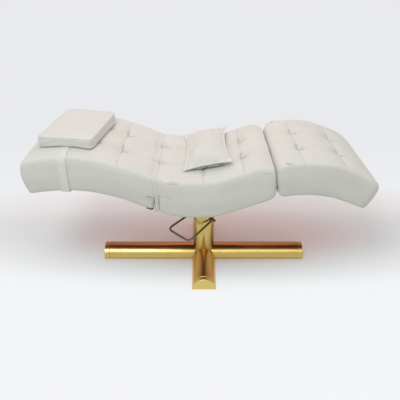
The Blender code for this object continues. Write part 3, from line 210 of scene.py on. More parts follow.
class ShaderGraph:
    """The node tree of one material, round its Principled shader."""

    def __init__(self, name: str) -> None:
        """Starts a material.

        Args:
            name: Name of the material.
        """
        self.material = bpy.data.materials.new(name)
        self.material.use_nodes = True
        self.tree = self.material.node_tree
        self.shader = self.tree.nodes["Principled BSDF"]
        self.place = self.node("ShaderNodeTexCoord").part("Object")
        split = self.node("ShaderNodeSeparateXYZ", {0: self.place})
        self.x, self.y, self.z = (split.part(index) for index in range(3))

    def feed(self, socket: bpy.types.NodeSocket, value: Value) -> None:
        """Links or sets one input.

        Args:
            socket: The input.
            value: A socket to link, or what the input is set to.
        """
        if isinstance(value, Socket):
            self.tree.links.new(value.output, socket)
        else:
            socket.default_value = value

    def node(self, kind: str, inputs: dict[str | int, Value] | None = None, **settings: object) -> Socket:
        """Adds one node of any kind.

        Args:
            kind: Blender's name of the node type.
            inputs: Values of its inputs, by name or index.
            settings: Properties of the node.

        Returns:
            The node's first output.
        """
        made = self.tree.nodes.new(kind)
        for name, value in settings.items():
            setattr(made, name, value)
        for name, value in (inputs or {}).items():
            self.feed(made.inputs[name], value)
        return Socket(self, made.outputs[0])

    def math(self, operation: str, *values: Socket | float) -> Socket:
        """Adds one Math node."""
        return self.node("ShaderNodeMath", dict(enumerate(values)), operation=operation)

    def mix(self, share: Socket | float, first: Value, second: Value) -> Socket:
        """Mixes two colours."""
        inputs = {0: share, 6: rgba(first), 7: rgba(second)}
        return self.node("ShaderNodeMix", inputs, data_type="RGBA").part(2)

    def cloudy(self, scale: float, detail: float = 2.0, stretch: Point = (1.0, 1.0, 1.0)) -> Socket:
        """Adds soft noise over the piece's own coordinates.

        Args:
            scale: Waves a metre.
            detail: Octaves.
            stretch: Factors on the coordinates before the noise.

        Returns:
            Noise round 0.5.
        """
        at = self.node("ShaderNodeVectorMath", {0: self.place, 1: stretch}, operation="MULTIPLY")
        inputs = {"Vector": at, "Scale": scale, "Detail": detail, "Roughness": 0.55}
        return self.node("ShaderNodeTexNoise", inputs)

    def triple(self, name: str) -> tuple[Socket, Socket, Socket]:
        """Reads three values that the mesh carries at its points as one vector.

        Args:
            name: Name of the attribute.

        Returns:
            The three values.
        """
        vector = self.node("ShaderNodeAttribute", attribute_name=name).part("Vector")
        split = self.node("ShaderNodeSeparateXYZ", {0: vector})
        return split.part(0), split.part(1), split.part(2)

    def attribute(self, name: str) -> Socket:
        """Reads a value that the mesh carries at its points."""
        return self.node("ShaderNodeAttribute", attribute_name=name).part("Fac")

    def bump(self, height: Socket, distance: float, under: Socket | None = None) -> Socket:
        """Turns a height into a normal.

        Args:
            height: Height from 0 to 1.
            distance: Height of 1, in metres.
            under: Normal of a coarser relief below this one.

        Returns:
            The normal.
        """
        inputs: dict[str | int, Value] = {"Height": height, "Distance": distance, "Strength": 1.0}
        if under:
            inputs["Normal"] = under
        return self.node("ShaderNodeBump", inputs)

    def dress(self, **values: Value) -> None:
        """Sets inputs of the Principled shader.

        Args:
            values: Values by input name, with _ for a space.
        """
        for name, value in values.items():
            title = name.replace("_", " ").title().replace("Ior", "IOR")
            socket = self.shader.inputs[title]
            if not isinstance(value, Socket) and socket.type == "RGBA":
                value = rgba(value)
            self.feed(socket, value)


def rgba(colour: Value) -> Value:
    """Adds alpha to a plain colour and leaves a socket as it is.

    Args:
        colour: The colour or socket.

    Returns:
        What a colour input takes.
    """
    if isinstance(colour, Socket) or len(colour) == 4:
        return colour
    return (*colour, 1.0)


# Finishes


@dataclass(frozen=True)
class Finish:
    """A procedural finish that many pieces can share."""

    name: str
    slot: Slot
    colour: Colour

    def material(self) -> bpy.types.Material:
        """The material of this finish, made when it is first asked for.

        Returns:
            The material.
        """
        found = bpy.data.materials.get(self.name)
        if found:
            return found
        graph = ShaderGraph(self.name)
        self.draw(graph)
        graph.material.diffuse_color = rgba(self.colour)
        return graph.material

    def draw(self, graph: ShaderGraph) -> None:
        """Fills the material's nodes."""
        raise NotImplementedError

    def tinted(self, factor: float) -> Colour:
        """The finish's colour, lighter or darker."""
        return tuple(min(channel * factor, 1.0) for channel in self.colour)

    def mottled(self, graph: ShaderGraph, share: Socket, tones: Span) -> Socket:
        """Mixes two tones of the finish's colour."""
        return graph.mix(share, self.tinted(tones[0]), self.tinted(tones[1]))

    def toned(self, graph: ShaderGraph, share: Socket, under: Socket, factor: float) -> Socket:
        """Lays one tone of the finish's colour over what is under it."""
        return graph.mix(share, under, self.tinted(factor))


@dataclass(frozen=True)
class WovenFabric(Finish):
    """Soft matt upholstery cloth with a fine plain weave."""

    pitch: float = 0.0013
    lean: Span = (0.37, 0.93)
    slub_scale: float = 420.0
    slub_stretch: Point = (0.35, 1.0, 1.0)
    fibre_scale: float = 1500.0
    patch_scale: float = 7.0
    crumple_scale: float = 38.0
    tones: Span = (0.955, 1.03)
    gap_share: float = 0.16
    gap_tone: float = 0.70
    fold_shade_tone: float = 0.42
    crumple_depth: float = 0.0009
    fold_depth: float = 0.0022
    weave_depth: float = 0.00022
    roughness: Span = (0.80, 0.90)
    nap: float = 0.25
    nap_roughness: float = 0.45
    nap_tone: float = 1.1
    gloss: float = 0.25

    def draw(self, graph: ShaderGraph) -> None:
        """Draws yarns on a lattice that suits tops and sides alike, with slubs, soft mottling and painted
        shade in folds.

        Args:
            graph: Graph of the new material.
        """
        warp = graph.x + graph.z * self.lean[0]
        weft = graph.y + graph.z * self.lean[1]
        weave = warp.wave(self.pitch) * weft.wave(self.pitch) * 0.5 + 0.5
        slub = graph.cloudy(self.slub_scale, 2.0, self.slub_stretch)
        fibre = graph.cloudy(self.fibre_scale, 1.0)
        patch = graph.cloudy(self.patch_scale, 3.0)
        mottle = (patch * 0.5 + slub * 0.3 + fibre * 0.2).between(*MIDDLE_HALF)
        cloth = self.mottled(graph, mottle, self.tones)
        cloth = self.toned(graph, (1.0 - weave) * self.gap_share, cloth, self.gap_tone)
        fold_shade, dent = self.sewing(graph)
        # Painted shade: the cloth is darkened in its folds, creases and hems, where shade falls.
        cloth = self.toned(graph, fold_shade, cloth, self.fold_shade_tone)
        relief = graph.bump(graph.cloudy(self.crumple_scale, 3.0), self.crumple_depth)
        relief = graph.bump(1.0 - dent, self.fold_depth, relief)
        relief = graph.bump(weave * 0.7 + slub * 0.3, self.weave_depth, relief)
        graph.dress(
            base_color=cloth,
            roughness=patch.spread(*self.roughness),
            sheen_weight=self.nap,
            sheen_roughness=self.nap_roughness,
            sheen_tint=self.tinted(self.nap_tone),
            specular_ior_level=self.gloss,
            normal=relief,
        )

    def sewing(self, graph: ShaderGraph) -> tuple[Socket, Socket]:
        """How dark the painted shade in the cloth's folds is, and how deep."""
        fold_shade = graph.attribute("fold_shade")
        return fold_shade, fold_shade * 0.5


@dataclass(frozen=True)
class Mark:
    """One kind of line in the cloth: how wide its core and its fade are, how dark its painted shade is and
    how deep it is.
    """

    core: float
    edge: float
    dark: float
    deep: float

    def line(self, off: Socket) -> Socket:
        """The line's strength at a distance from its middle."""
        return off.within(self.core, self.edge)


@dataclass(frozen=True)
class SideFold:
    """One short fold on a section's side, drawn only as painted shade."""

    middle: float
    height: float
    half_length: float
    slope: float
    thick: float
    dark: float


# Painted shade lines of short folds on the sections' sides.
SIDE_FOLDS = (
    SideFold(0.436, 0.7805, 0.026, 0.10, 0.0035, 0.46),
    SideFold(0.318, 0.735, 0.024, 0.16, 0.0035, 0.42),
    SideFold(0.330, 0.716, 0.016, 0.10, 0.0030, 0.16),
    SideFold(-0.284, 0.600, 0.024, -0.35, 0.0080, 0.62),
    SideFold(-0.292, 0.586, 0.018, -0.60, 0.0060, 0.22),
    SideFold(-0.196, 0.598, 0.042, -0.34, 0.0110, 0.20),
    SideFold(-0.205, 0.622, 0.034, -0.30, 0.0080, 0.10),
    SideFold(-0.480, 0.668, 0.030, -0.50, 0.0060, 0.07),
)


@dataclass(frozen=True)
class QuiltedFabric(WovenFabric):
    """The same cloth, sewn down in seams and drawn into bent folds and puckers at its tufts, with painted
    shade in its seams, folds and puckers.
    """

    stitch: float = 0.0040
    seam_across: Mark = Mark(0.0006, 0.0023, 0.34, 0.4)
    seam_along: Mark = Mark(0.0006, 0.0020, 0.20, 0.3)
    crease: Mark = Mark(0.0004, 0.0030, 0.40, 0.5)
    crease_shade: Mark = Mark(0.0010, 0.0105, 0.36, 0.5)
    bend: float = 0.013
    bend_start: Span = (0.012, 0.008)
    crease_reach: Span = (0.020, 0.050)
    upright_share: float = 0.55
    upright_width: float = 0.010
    squeeze: float = 0.6
    waver_scale: float = 60.0
    waver: float = 0.003
    rays: float = 7.0
    ray_waver: float = 900.0
    ray_start: Span = (0.003, 0.014)
    ray_end: Span = (0.020, 0.055)
    ray_dark: float = 0.09
    ray_deep: float = 0.35
    pit_reach: float = 0.020
    pit_dark: float = 0.02
    side_start: Span = (0.292, 0.306)
    side_waver_scale: float = 45.0
    side_waver: float = 0.002
    side_bow: float = 4.0

    def sewing(self, graph: ShaderGraph) -> tuple[Socket, Socket]:
        """Draws the seams' painted shade from the distances to them, and each tuft's fold and its painted
        shade from the place beside it.

        Args:
            graph: Graph of the cloth.

        Returns:
            The painted shade and the depth, each from 0 to 1.
        """
        off_x, off_y, top = graph.triple("seam")
        dx, across, near = graph.triple("tuft")
        dy = across * self.squeeze
        seam_x = self.seam_across.line(off_x) * graph.y.ripple(self.stitch, 0.25) * top
        seam_y = self.seam_along.line(off_y) * graph.x.ripple(self.stitch, 0.25) * top
        away = (dx * dx + dy * dy) ** 0.5
        wave = graph.cloudy(self.waver_scale, 1.0).spread(-self.waver, self.waver)
        corner_x = (self.bend_start[0] - dx + wave).math("MAXIMUM", 0.0)
        corner_y = (self.bend_start[1] - dy - wave).math("MAXIMUM", 0.0)
        ring = ((corner_x * corner_x + corner_y * corner_y) ** 0.5 - self.bend).magnitude()
        level = dx.between(0.0, self.upright_width)
        reach = away.within(*self.crease_reach) * level.spread(self.upright_share, 1.0) * near
        crease = self.crease.line(ring) * reach
        soft = self.crease_shade.line(ring) * reach
        angle = graph.math("ARCTAN2", dy, dx)
        star = (angle * self.rays + wave * self.ray_waver).sine() * 0.5 + 0.5
        rays = star * away.between(*self.ray_start) * away.within(*self.ray_end) * near
        pit = away.within(0.0, self.pit_reach) * near
        # Painted shade: seams, bent creases, pucker rays and tuft pits are darkened where shade falls in
        # them.
        dark = (seam_x * self.seam_across.dark).math("MAXIMUM", seam_y * self.seam_along.dark)
        dark = dark + crease * self.crease.dark + soft * self.crease_shade.dark
        dark = dark + rays * self.ray_dark + pit * self.pit_dark + self.side_folds(graph)
        deep = seam_x * self.seam_across.deep + seam_y * self.seam_along.deep
        deep = deep + crease * self.crease.deep + soft * self.crease_shade.deep + rays * self.ray_deep
        return dark.math("MINIMUM", 1.0), deep.math("MINIMUM", 1.0)

    def side_folds(self, graph: ShaderGraph) -> Socket:
        """Paints the shade of short folds on the sides, near the sections' corners.

        Args:
            graph: Graph of the cloth.

        Returns:
            Their painted shade.
        """
        wave = graph.cloudy(self.side_waver_scale, 1.0).spread(-self.side_waver, self.side_waver)
        total: Socket | float = 0.0
        for fold_shade in SIDE_FOLDS:
            along = graph.x - fold_shade.middle
            off = graph.z - fold_shade.height - along * fold_shade.slope + wave + along * along * self.side_bow
            off = off.magnitude()
            run = along.magnitude().within(fold_shade.half_length * 0.5, fold_shade.half_length)
            total = off.within(fold_shade.thick * 0.2, fold_shade.thick) * run * fold_shade.dark + total
        return total * graph.y.magnitude().between(*self.side_start)


@dataclass(frozen=True)
class Webbing(Finish):
    """Cloth strap with crosswise ribs and a row of stitches along each edge."""

    middle: float = 0.0
    half_width: float = 0.023
    rib: float = 0.0022
    yarn: float = 0.0016
    stitch: float = 0.0055
    stitch_start_shares: Span = (0.80, 0.84)
    stitch_end_shares: Span = (0.88, 0.92)
    patch_scale: float = 30.0
    tones: Span = (0.96, 1.02)
    gap_share: float = 0.12
    gap_tone: float = 0.7
    stitch_tone: float = 1.12
    relief: float = 0.00025
    roughness: float = 0.82
    nap: float = 0.2
    nap_roughness: float = 0.45
    gloss: float = 0.25

    def draw(self, graph: ShaderGraph) -> None:
        """Draws ribs along the strap's run and stitched edges.

        Args:
            graph: Graph of the new material.
        """
        run = graph.y + graph.z
        ribs = run.ripple(self.rib)
        yarns = graph.x.ripple(self.yarn)
        off = (graph.x - self.middle).magnitude()
        start = off.between(*(self.half_width * share for share in self.stitch_start_shares))
        end = off.within(*(self.half_width * share for share in self.stitch_end_shares))
        stitch = start * end * run.wave(self.stitch).between(-0.3, 0.0)
        patch = graph.cloudy(self.patch_scale, 3.0)
        cloth = self.mottled(graph, patch.between(*MIDDLE_HALF), self.tones)
        cloth = self.toned(graph, (1.0 - ribs * yarns) * self.gap_share, cloth, self.gap_tone)
        cloth = self.toned(graph, stitch, cloth, self.stitch_tone)
        graph.dress(
            base_color=cloth,
            roughness=self.roughness,
            sheen_weight=self.nap,
            sheen_roughness=self.nap_roughness,
            specular_ior_level=self.gloss,
            normal=graph.bump(ribs * 0.6 + yarns * 0.2 + stitch * 0.8, self.relief),
        )


@dataclass(frozen=True)
class BrushedMetal(Finish):
    """Metal brushed along one axis, with a painted reflection on its ridge where it has any: a darker copper
    tint by height.
    """

    along: Axis = Axis.X
    roughness: float = 0.3
    grain: float = 0.05
    ridge_reflection: float = 0.0
    relief: float = 0.00002
    line_scale: float = 900.0
    line_stretch: float = 0.012
    cloud_scale: float = 9.0
    clouding: float = 0.06
    tones: Span = (0.90, 1.06)
    wear: Span = (0.45, 0.85)
    wear_share: float = 0.25
    wear_tone: float = 0.82
    ridge_reflection_heights: Span = (0.054, 0.068)
    ridge_reflection_tint: Colour = (0.52, 0.20, 0.20)

    def draw(self, graph: ShaderGraph) -> None:
        """Draws long scratches along the brushing axis, broad clouds of wear and the painted copper
        reflection on the ridge.

        Args:
            graph: Graph of the new material.
        """
        stretch = [1.0, 1.0, 1.0]
        stretch[self.along.value] = self.line_stretch
        lines = graph.cloudy(self.line_scale, 2.0, tuple(stretch))
        cloud = graph.cloudy(self.cloud_scale, 3.0)
        metal = self.mottled(graph, lines.between(*MIDDLE_HALF), self.tones)
        metal = self.toned(graph, cloud.between(*self.wear) * self.wear_share, metal, self.wear_tone)
        # Painted reflection: the ridge is tinted darker and redder by height, standing in for the dark
        # surroundings it reflects.
        if self.ridge_reflection:
            ridge_reflection_mask = graph.z.between(*self.ridge_reflection_heights) * lines.spread(0.8, 1.0) * self.ridge_reflection
            metal = graph.mix(ridge_reflection_mask, metal, tuple(c * t for c, t in zip(self.colour, self.ridge_reflection_tint)))
        smoothest = self.roughness - (self.clouding + self.grain) / 2.0
        graph.dress(
            base_color=metal,
            metallic=1.0,
            roughness=lines * self.grain + cloud * self.clouding + smoothest,
            normal=graph.bump(lines, self.relief),
        )


@dataclass(frozen=True)
class TurnedMetal(Finish):
    """Metal turned or ground in rings about the column's axis."""

    roughness: float = 0.25
    ring: float = 0.0004
    ring_stretch: Point = (0.004, 0.004, 1.0)
    cloud_scale: float = 40.0
    tones: Span = (0.94, 1.04)
    grain: float = 0.05
    clouding: float = 0.06
    relief: float = 0.00001

    def draw(self, graph: ShaderGraph) -> None:
        """Draws fine rings at each height, with slight clouds.

        Args:
            graph: Graph of the new material.
        """
        lines = graph.cloudy(1.0 / self.ring, 1.0, self.ring_stretch)
        cloud = graph.cloudy(self.cloud_scale, 2.0)
        graph.dress(
            base_color=self.mottled(graph, lines.between(*MIDDLE_HALF), self.tones),
            metallic=1.0,
            roughness=lines * self.grain + cloud * self.clouding + (self.roughness - self.grain),
            normal=graph.bump(lines, self.relief),
        )


@dataclass(frozen=True)
class PowderCoat(Finish):
    """Powder-coated steel with a fine orange peel."""

    roughness: float = 0.42
    pebble_scale: float = 700.0
    dust_scale: float = 18.0
    dust: Span = (0.45, 0.75)
    dusty_tone: float = 1.9
    dulling: float = 0.2
    relief: float = 0.00008

    def draw(self, graph: ShaderGraph) -> None:
        """Draws a pebbled coat with rubbed patches.

        Args:
            graph: Graph of the new material.
        """
        pebble = graph.cloudy(self.pebble_scale, 2.0)
        dust = graph.cloudy(self.dust_scale, 4.0)
        graph.dress(
            base_color=self.mottled(graph, dust.between(*self.dust), (1.0, self.dusty_tone)),
            metallic=0.0,
            roughness=dust * self.dulling + (self.roughness - self.dulling / 2.0),
            specular_ior_level=0.5,
            normal=graph.bump(pebble, self.relief),
        )


@dataclass(frozen=True)
class Moulded(Finish):
    """Moulded rubber or plastic with a fine spark-eroded grain."""

    roughness: float = 0.6
    relief: float = 0.00005
    grain_scale: float = 1100.0
    flow_scale: float = 22.0
    flow_stretch: Point = (1.0, 1.0, 0.4)
    flow: Span = (0.35, 0.75)
    flow_tone: float = 1.6
    dulling: float = 0.12

    def draw(self, graph: ShaderGraph) -> None:
        """Draws a fine grain and faint flow marks.

        Args:
            graph: Graph of the new material.
        """
        grain = graph.cloudy(self.grain_scale, 2.0)
        flow = graph.cloudy(self.flow_scale, 3.0, self.flow_stretch)
        graph.dress(
            base_color=self.mottled(graph, flow.between(*self.flow), (1.0, self.flow_tone)),
            roughness=grain * self.dulling + (self.roughness - self.dulling / 2.0),
            normal=graph.bump(grain, self.relief),
        )


@dataclass(frozen=True)
class Plywood(Finish):
    """Birch plywood: grain on its faces and plies on its edges."""

    ply: float = 0.0014
    grain_scale: float = 60.0
    grain_stretch: Point = (0.08, 1.0, 1.0)
    pore_scale: float = 700.0
    pore_stretch: Point = (0.06, 1.0, 1.0)
    tones: Span = (0.78, 1.08)
    pores: Span = (0.62, 0.70)
    pore_share: float = 0.5
    pore_tone: float = 0.5
    ply_share: float = 0.12
    ply_tone: float = 0.6
    roughness: Span = (0.55, 0.75)
    relief: float = 0.0001

    def draw(self, graph: ShaderGraph) -> None:
        """Draws long grain, a few darker streaks and plies by height.

        Args:
            graph: Graph of the new material.
        """
        grain = graph.cloudy(self.grain_scale, 4.0, self.grain_stretch)
        pores = graph.cloudy(self.pore_scale, 2.0, self.pore_stretch)
        plies = graph.z.wave(self.ply).between(-0.2, 0.2)
        wood = self.mottled(graph, grain.between(*MIDDLE_HALF), self.tones)
        wood = self.toned(graph, pores.between(*self.pores) * self.pore_share, wood, self.pore_tone)
        wood = self.toned(graph, plies * self.ply_share, wood, self.ply_tone)
        graph.dress(base_color=wood, roughness=grain.spread(*self.roughness),
                    normal=graph.bump(pores, self.relief))


@dataclass(frozen=True)
class DustCloth(Finish):
    """Thin black non-woven cloth under the seat."""

    pitch: float = 0.0036
    fibre_scale: float = 900.0
    fibre: Span = (0.35, 0.75)
    fibre_tone: float = 2.4
    points: Span = (0.55, 0.85)
    point_share: float = 0.5
    point_tone: float = 0.6
    roughness: Span = (0.92, 0.72)
    gloss: float = 0.2
    relief: float = 0.0003

    def draw(self, graph: ShaderGraph) -> None:
        """Draws the embossed points and the loose fibres of non-woven cloth.

        Args:
            graph: Graph of the new material.
        """
        fibre = graph.cloudy(self.fibre_scale, 3.0)
        warp = (graph.x + graph.y).wave(self.pitch).magnitude()
        weft = (graph.x - graph.y).wave(self.pitch).magnitude()
        points = (warp * weft).between(*self.points)
        cloth = self.mottled(graph, fibre.between(*self.fibre), (1.0, self.fibre_tone))
        graph.dress(
            base_color=self.toned(graph, points * self.point_share, cloth, self.point_tone),
            roughness=points.spread(*self.roughness),
            specular_ior_level=self.gloss,
            normal=graph.bump(fibre * 0.5 - points * 0.5, self.relief),
        )


@dataclass(frozen=True)
class Lacquer(Finish):
    """Dark bronze lacquer over metal, worn to the bright metal in places."""

    bright: Colour = (0.62, 0.42, 0.16)
    edge: Colour = (0.30, 0.22, 0.12)
    wear_scale: float = 70.0
    wear: Span = (0.60, 0.72)
    wear_share: float = 0.8
    fine_scale: float = 500.0
    tones: Span = (0.7, 1.3)
    roughness: Span = (0.20, 0.32)
    gloss: float = 0.3
    relief: float = 0.00003

    def draw(self, graph: ShaderGraph) -> None:
        """Draws a glossy dark coat with rubbed spots.

        Args:
            graph: Graph of the new material.
        """
        worn = graph.cloudy(self.wear_scale, 3.0).between(*self.wear)
        fine = graph.cloudy(self.fine_scale, 2.0)
        graph.dress(
            base_color=graph.mix(worn * self.wear_share, self.mottled(graph, fine, self.tones), self.bright),
            metallic=1.0,
            roughness=fine.spread(*self.roughness),
            specular_ior_level=self.gloss,
            specular_tint=self.edge,
            normal=graph.bump(fine, self.relief),
        )


PEARL_COLOUR = (0.770, 0.756, 0.722)
PEARL = WovenFabric("pearl_fabric", Slot.FABRIC, PEARL_COLOUR)
PEARL_QUILT = QuiltedFabric("pearl_quilted_fabric", Slot.FABRIC, PEARL_COLOUR)
PEARL_PILLOW = WovenFabric("pearl_pillow_fabric", Slot.PILLOW_FABRIC, (0.765, 0.750, 0.718), pitch=0.0011)
PEARL_PIPING = WovenFabric("pearl_piping", Slot.PILLOW_FABRIC, (0.850, 0.838, 0.805), pitch=0.0011)
STRAP_CLOTH = Webbing("pearl_strap", Slot.STRAP_FABRIC, (0.835, 0.822, 0.790), middle=-0.724)
GOLD_X = BrushedMetal("brushed_gold_x", Slot.BRUSHED_GOLD, (0.74, 0.540, 0.185), Axis.X, 0.33, ridge_reflection=1.0)
GOLD_Y = BrushedMetal("brushed_gold_y", Slot.BRUSHED_GOLD, (0.88, 0.520, 0.145), Axis.Y, 0.34, ridge_reflection=0.5)
GOLD_Z = BrushedMetal("brushed_gold_z", Slot.BRUSHED_GOLD, (0.62, 0.45, 0.15), Axis.Z, 0.22)
CAP_GOLD_X = BrushedMetal("satin_gold_x", Slot.SATIN_GOLD, (0.76, 0.57, 0.19), Axis.X, 0.36, ridge_reflection=0.9)
CAP_GOLD_Y = BrushedMetal("satin_gold_y", Slot.SATIN_GOLD, (0.80, 0.61, 0.19), Axis.Y, 0.38)
PLATE_GOLD = BrushedMetal("badge_gold", Slot.GOLD_PLATE, (0.84, 0.72, 0.44), Axis.X, 0.22, grain=0.03)
BUSH_BRONZE = TurnedMetal("bush_bronze", Slot.BRONZE_BUSH, (0.60, 0.42, 0.18), 0.32)
HARD_CHROME = TurnedMetal("hard_chrome", Slot.CHROME, (0.80, 0.80, 0.81), 0.12)
ZINC = TurnedMetal("zinc_steel", Slot.ZINC_STEEL, (0.60, 0.61, 0.63), 0.34)
BLACK_STEEL = PowderCoat("black_steel", Slot.BLACK_STEEL, (0.028, 0.028, 0.030))
BLACK_PLASTIC = Moulded("black_plastic", Slot.BLACK_PLASTIC, (0.030, 0.030, 0.031), 0.45)
BLACK_RUBBER = Moulded("black_rubber", Slot.BLACK_RUBBER, (0.022, 0.022, 0.022), 0.78, relief=0.0001)
BIRCH = Plywood("birch_plywood", Slot.PLYWOOD, (0.60, 0.43, 0.26))
LINING = DustCloth("black_lining", Slot.LINING, (0.060, 0.060, 0.064))
ZIP_TAPE = Moulded("pillow_zip", Slot.PILLOW_FABRIC, (0.20, 0.20, 0.185), 0.6, relief=0.0003)
# Painted highlight: the stud is near white so that it reads as a glint.
STUD_GLINT_WHITE = Moulded("badge_stud", Slot.GOLD_PLATE, (0.95, 0.95, 0.92), 0.22, relief=0.00002)
BRONZE = Lacquer("dark_bronze", Slot.DARK_BRONZE, (0.016, 0.010, 0.004))


# Mesh helpers


def make_piece(name: str, points: np.ndarray | Sequence[Point], faces: Iterable[Sequence[int]],
               finish: Finish, body: Body | None, smooth: bool = True) -> bpy.types.Object:
    """Makes a mesh piece that rides on a body.

    Args:
        name: Name of the piece.
        points: Its points, in world coordinates at rest.
        faces: Point indices of its faces.
        finish: What it is made of.
        body: Body that carries it, or None where it is attached later or not at all.
        smooth: Whether its faces are shaded smooth.

    Returns:
        The piece.
    """
    mesh = bpy.data.meshes.new(name)
    mesh.from_pydata([tuple(float(c) for c in point) for point in points], [], [tuple(f) for f in faces])
    mesh.update()
    if smooth:
        mesh.shade_smooth()
    made = bpy.data.objects.new(name, mesh)
    bpy.context.scene.collection.objects.link(made)
    made.data.materials.append(finish.material())
    if body:
        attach(made, body.value)
    return made


SHARP_TURNED = math.radians(30.0)
SHARP_TUBE = math.radians(25.0)


@dataclass(frozen=True)
class Stuffing:
    """How a cover is blown up by its filling in the cloth simulation."""

    pressure: float = 3.5
    looseness: float = 0.015
    cap: float = 0.0055
    frames: int = 20
    quality: int = 5
    mass: float = 0.25
    air_damping: float = 2.0
    stiffness: float = 18.0
    shear_share: float = 1.0 / 3.0
    bending: float = 0.5

    def modifier(self, obj: bpy.types.Object, held: str) -> bpy.types.Modifier:
        """Adds the cloth simulation to a cover.

        Args:
            obj: The cover.
            held: Name of the vertex group that holds it.

        Returns:
            The modifier.
        """
        modifier = obj.modifiers.new("Filling", "CLOTH")
        settings = modifier.settings
        settings.quality = self.quality
        settings.mass = self.mass
        settings.air_damping = self.air_damping
        settings.tension_stiffness = self.stiffness
        settings.compression_stiffness = self.stiffness
        settings.shear_stiffness = self.stiffness * self.shear_share
        settings.bending_stiffness = self.bending
        settings.vertex_group_mass = held
        settings.pin_stiffness = 1.0
        settings.use_pressure = True
        settings.uniform_pressure_force = self.pressure
        settings.shrink_min = -self.looseness
        settings.effector_weights.gravity = 0.0
        modifier.collision_settings.use_collision = False
        modifier.point_cache.frame_end = self.frames
        return modifier

    def fill(self, obj: bpy.types.Object, held: Sequence[float]) -> None:
        """Runs the simulation and keeps its result in the mesh.

        Args:
            obj: The cover, with nothing above it.
            held: How firmly each point is sewn or glued down, from 0 to 1.
        """
        group = obj.vertex_groups.new(name="held")
        for index, weight in enumerate(held):
            if weight > 0.0:
                group.add([index], weight, "REPLACE")
        modifier = self.modifier(obj, group.name)
        scene = bpy.context.scene
        for frame in range(1, self.frames + 1):
            scene.frame_set(frame)
        count = len(obj.data.vertices)
        before, after = np.empty(count * 3), np.empty(count * 3)
        obj.data.vertices.foreach_get("co", before)
        filled = obj.evaluated_get(bpy.context.evaluated_depsgraph_get())
        filled.to_mesh().vertices.foreach_get("co", after)
        filled.to_mesh_clear()
        obj.modifiers.remove(modifier)
        obj.vertex_groups.remove(group)
        scene.frame_set(1)
        move = (after - before).reshape(-1, 3)
        length = np.maximum(np.linalg.norm(move, axis=1, keepdims=True), 1e-9)
        move *= np.minimum(1.0, self.cap / length)
        obj.data.vertices.foreach_set("co", before + move.ravel())
        obj.data.update()
        LOG.info("%s filled: moved up to %.1f mm", obj.name, 1000.0 * float(np.abs(move).max()))


def outward(obj: bpy.types.Object) -> bpy.types.Object:
    """Turns a closed piece's faces outwards.

    Args:
        obj: The piece.

    Returns:
        The same piece.
    """
    bm = bmesh.new()
    bm.from_mesh(obj.data)
    bmesh.ops.recalc_face_normals(bm, faces=bm.faces)
    if bm.calc_volume(signed=True) < 0:
        bmesh.ops.reverse_faces(bm, faces=bm.faces)
    bm.to_mesh(obj.data)
    bm.free()
    return obj


def subdivide(obj: bpy.types.Object) -> None:
    """Adds one level of Subdivision Surface."""
    modifier = obj.modifiers.new("Soft", "SUBSURF")
    modifier.levels = modifier.render_levels = 1


def store(obj: bpy.types.Object, name: str, values: Sequence[float], vector: bool = False) -> None:
    """Stores values at a mesh's points, for its material to read."""
    made = obj.data.attributes.new(name, "FLOAT_VECTOR" if vector else "FLOAT", "POINT")
    made.data.foreach_set("vector" if vector else "value", values)


def clamp(value: float, low: float = 0.0, high: float = 1.0) -> float:
    """Keeps a value inside a range."""
    return min(max(value, low), high)


def bell(off: float, width: float) -> float:
    """A bell curve's height at a distance from its middle."""
    return math.exp(-((off / width) ** 2))


def quads(rows: int, count: int, loop: bool = False, ring: bool = True) -> list[tuple[int, ...]]:
    """Faces between rows of points that follow each other.

    Args:
        rows: Number of rows.
        count: Points in a row.
        loop: Whether the last row meets the first.
        ring: Whether each row runs back to its start.

    Returns:
        The faces, as point indices.
    """
    faces = []
    for row in range(rows if loop else rows - 1):
        start, end = row * count, (row + 1) % rows * count
        for k in range(count if ring else count - 1):
            after = (k + 1) % count
            faces.append((start + k, start + after, end + after, end + k))
    return faces


def surface_of(piece: bpy.types.Object) -> BVHTree:
    """A finished piece's surface, for laying other pieces on it."""
    return BVHTree.FromObject(piece, bpy.context.evaluated_depsgraph_get())


def around(turn: float, parts: int, first: float = 0.0) -> list[float]:
    """Evenly spaced angles, in radians."""
    return [math.radians(first + turn * step / parts) for step in range(parts + 1)]


def sweep(name: str, route: Sequence[Vector], radius: float, finish: Finish, body: Body, sides: int = 8,
          closed: bool = False) -> bpy.types.Object:
    """A round rod along a route.

    Args:
        name: Name of the piece.
        route: Points of its centre line.
        radius: Its radius.
        finish: What it is made of.
        body: Body that carries it.
        sides: Points round the section.
        closed: Whether the route runs back to its start.

    Returns:
        The piece.
    """
    points: list[Vector] = []
    count = len(route)
    normal = None
    for index, at in enumerate(route):
        after = route[(index + 1) % count] if closed else route[min(index + 1, count - 1)]
        before = route[index - 1] if closed or index else route[0]
        heading = (after - before).normalized()
        if normal is None:
            normal = heading.orthogonal().normalized()
        normal = (normal - heading * normal.dot(heading)).normalized()
        binormal = heading.cross(normal)
        for side in range(sides):
            angle = 2.0 * math.pi * side / sides
            points.append(at + normal * (radius * math.cos(angle)) + binormal * (radius * math.sin(angle)))
    faces = quads(count, sides, closed)
    if not closed:
        faces.append(tuple(range(sides))[::-1])
        faces.append(tuple(range((count - 1) * sides, count * sides)))
    return outward(make_piece(name, points, faces, finish, body))


def turned_piece(name: str, profile: Sequence[Span], finish: Finish, body: Body, steps: int,
                 place: Matrix | None = None) -> bpy.types.Object:
    """A closed profile of (radius, height) pairs turned about the Z axis.

    Args:
        name: Name of the piece.
        profile: The profile's points in order.
        finish: What it is made of.
        body: Body that carries it.
        steps: Steps of a full turn.
        place: Where it is put.

    Returns:
        The piece.
    """
    place = place or Matrix.Identity(4)
    points = []
    for step in range(steps):
        angle = 2.0 * math.pi * step / steps
        for radius, height in profile:
            points.append(place @ Vector((radius * math.cos(angle), radius * math.sin(angle), height)))
    made = outward(make_piece(name, points, quads(steps, len(profile), True), finish, body))
    made.data.set_sharp_from_angle(angle=SHARP_TURNED)
    return made


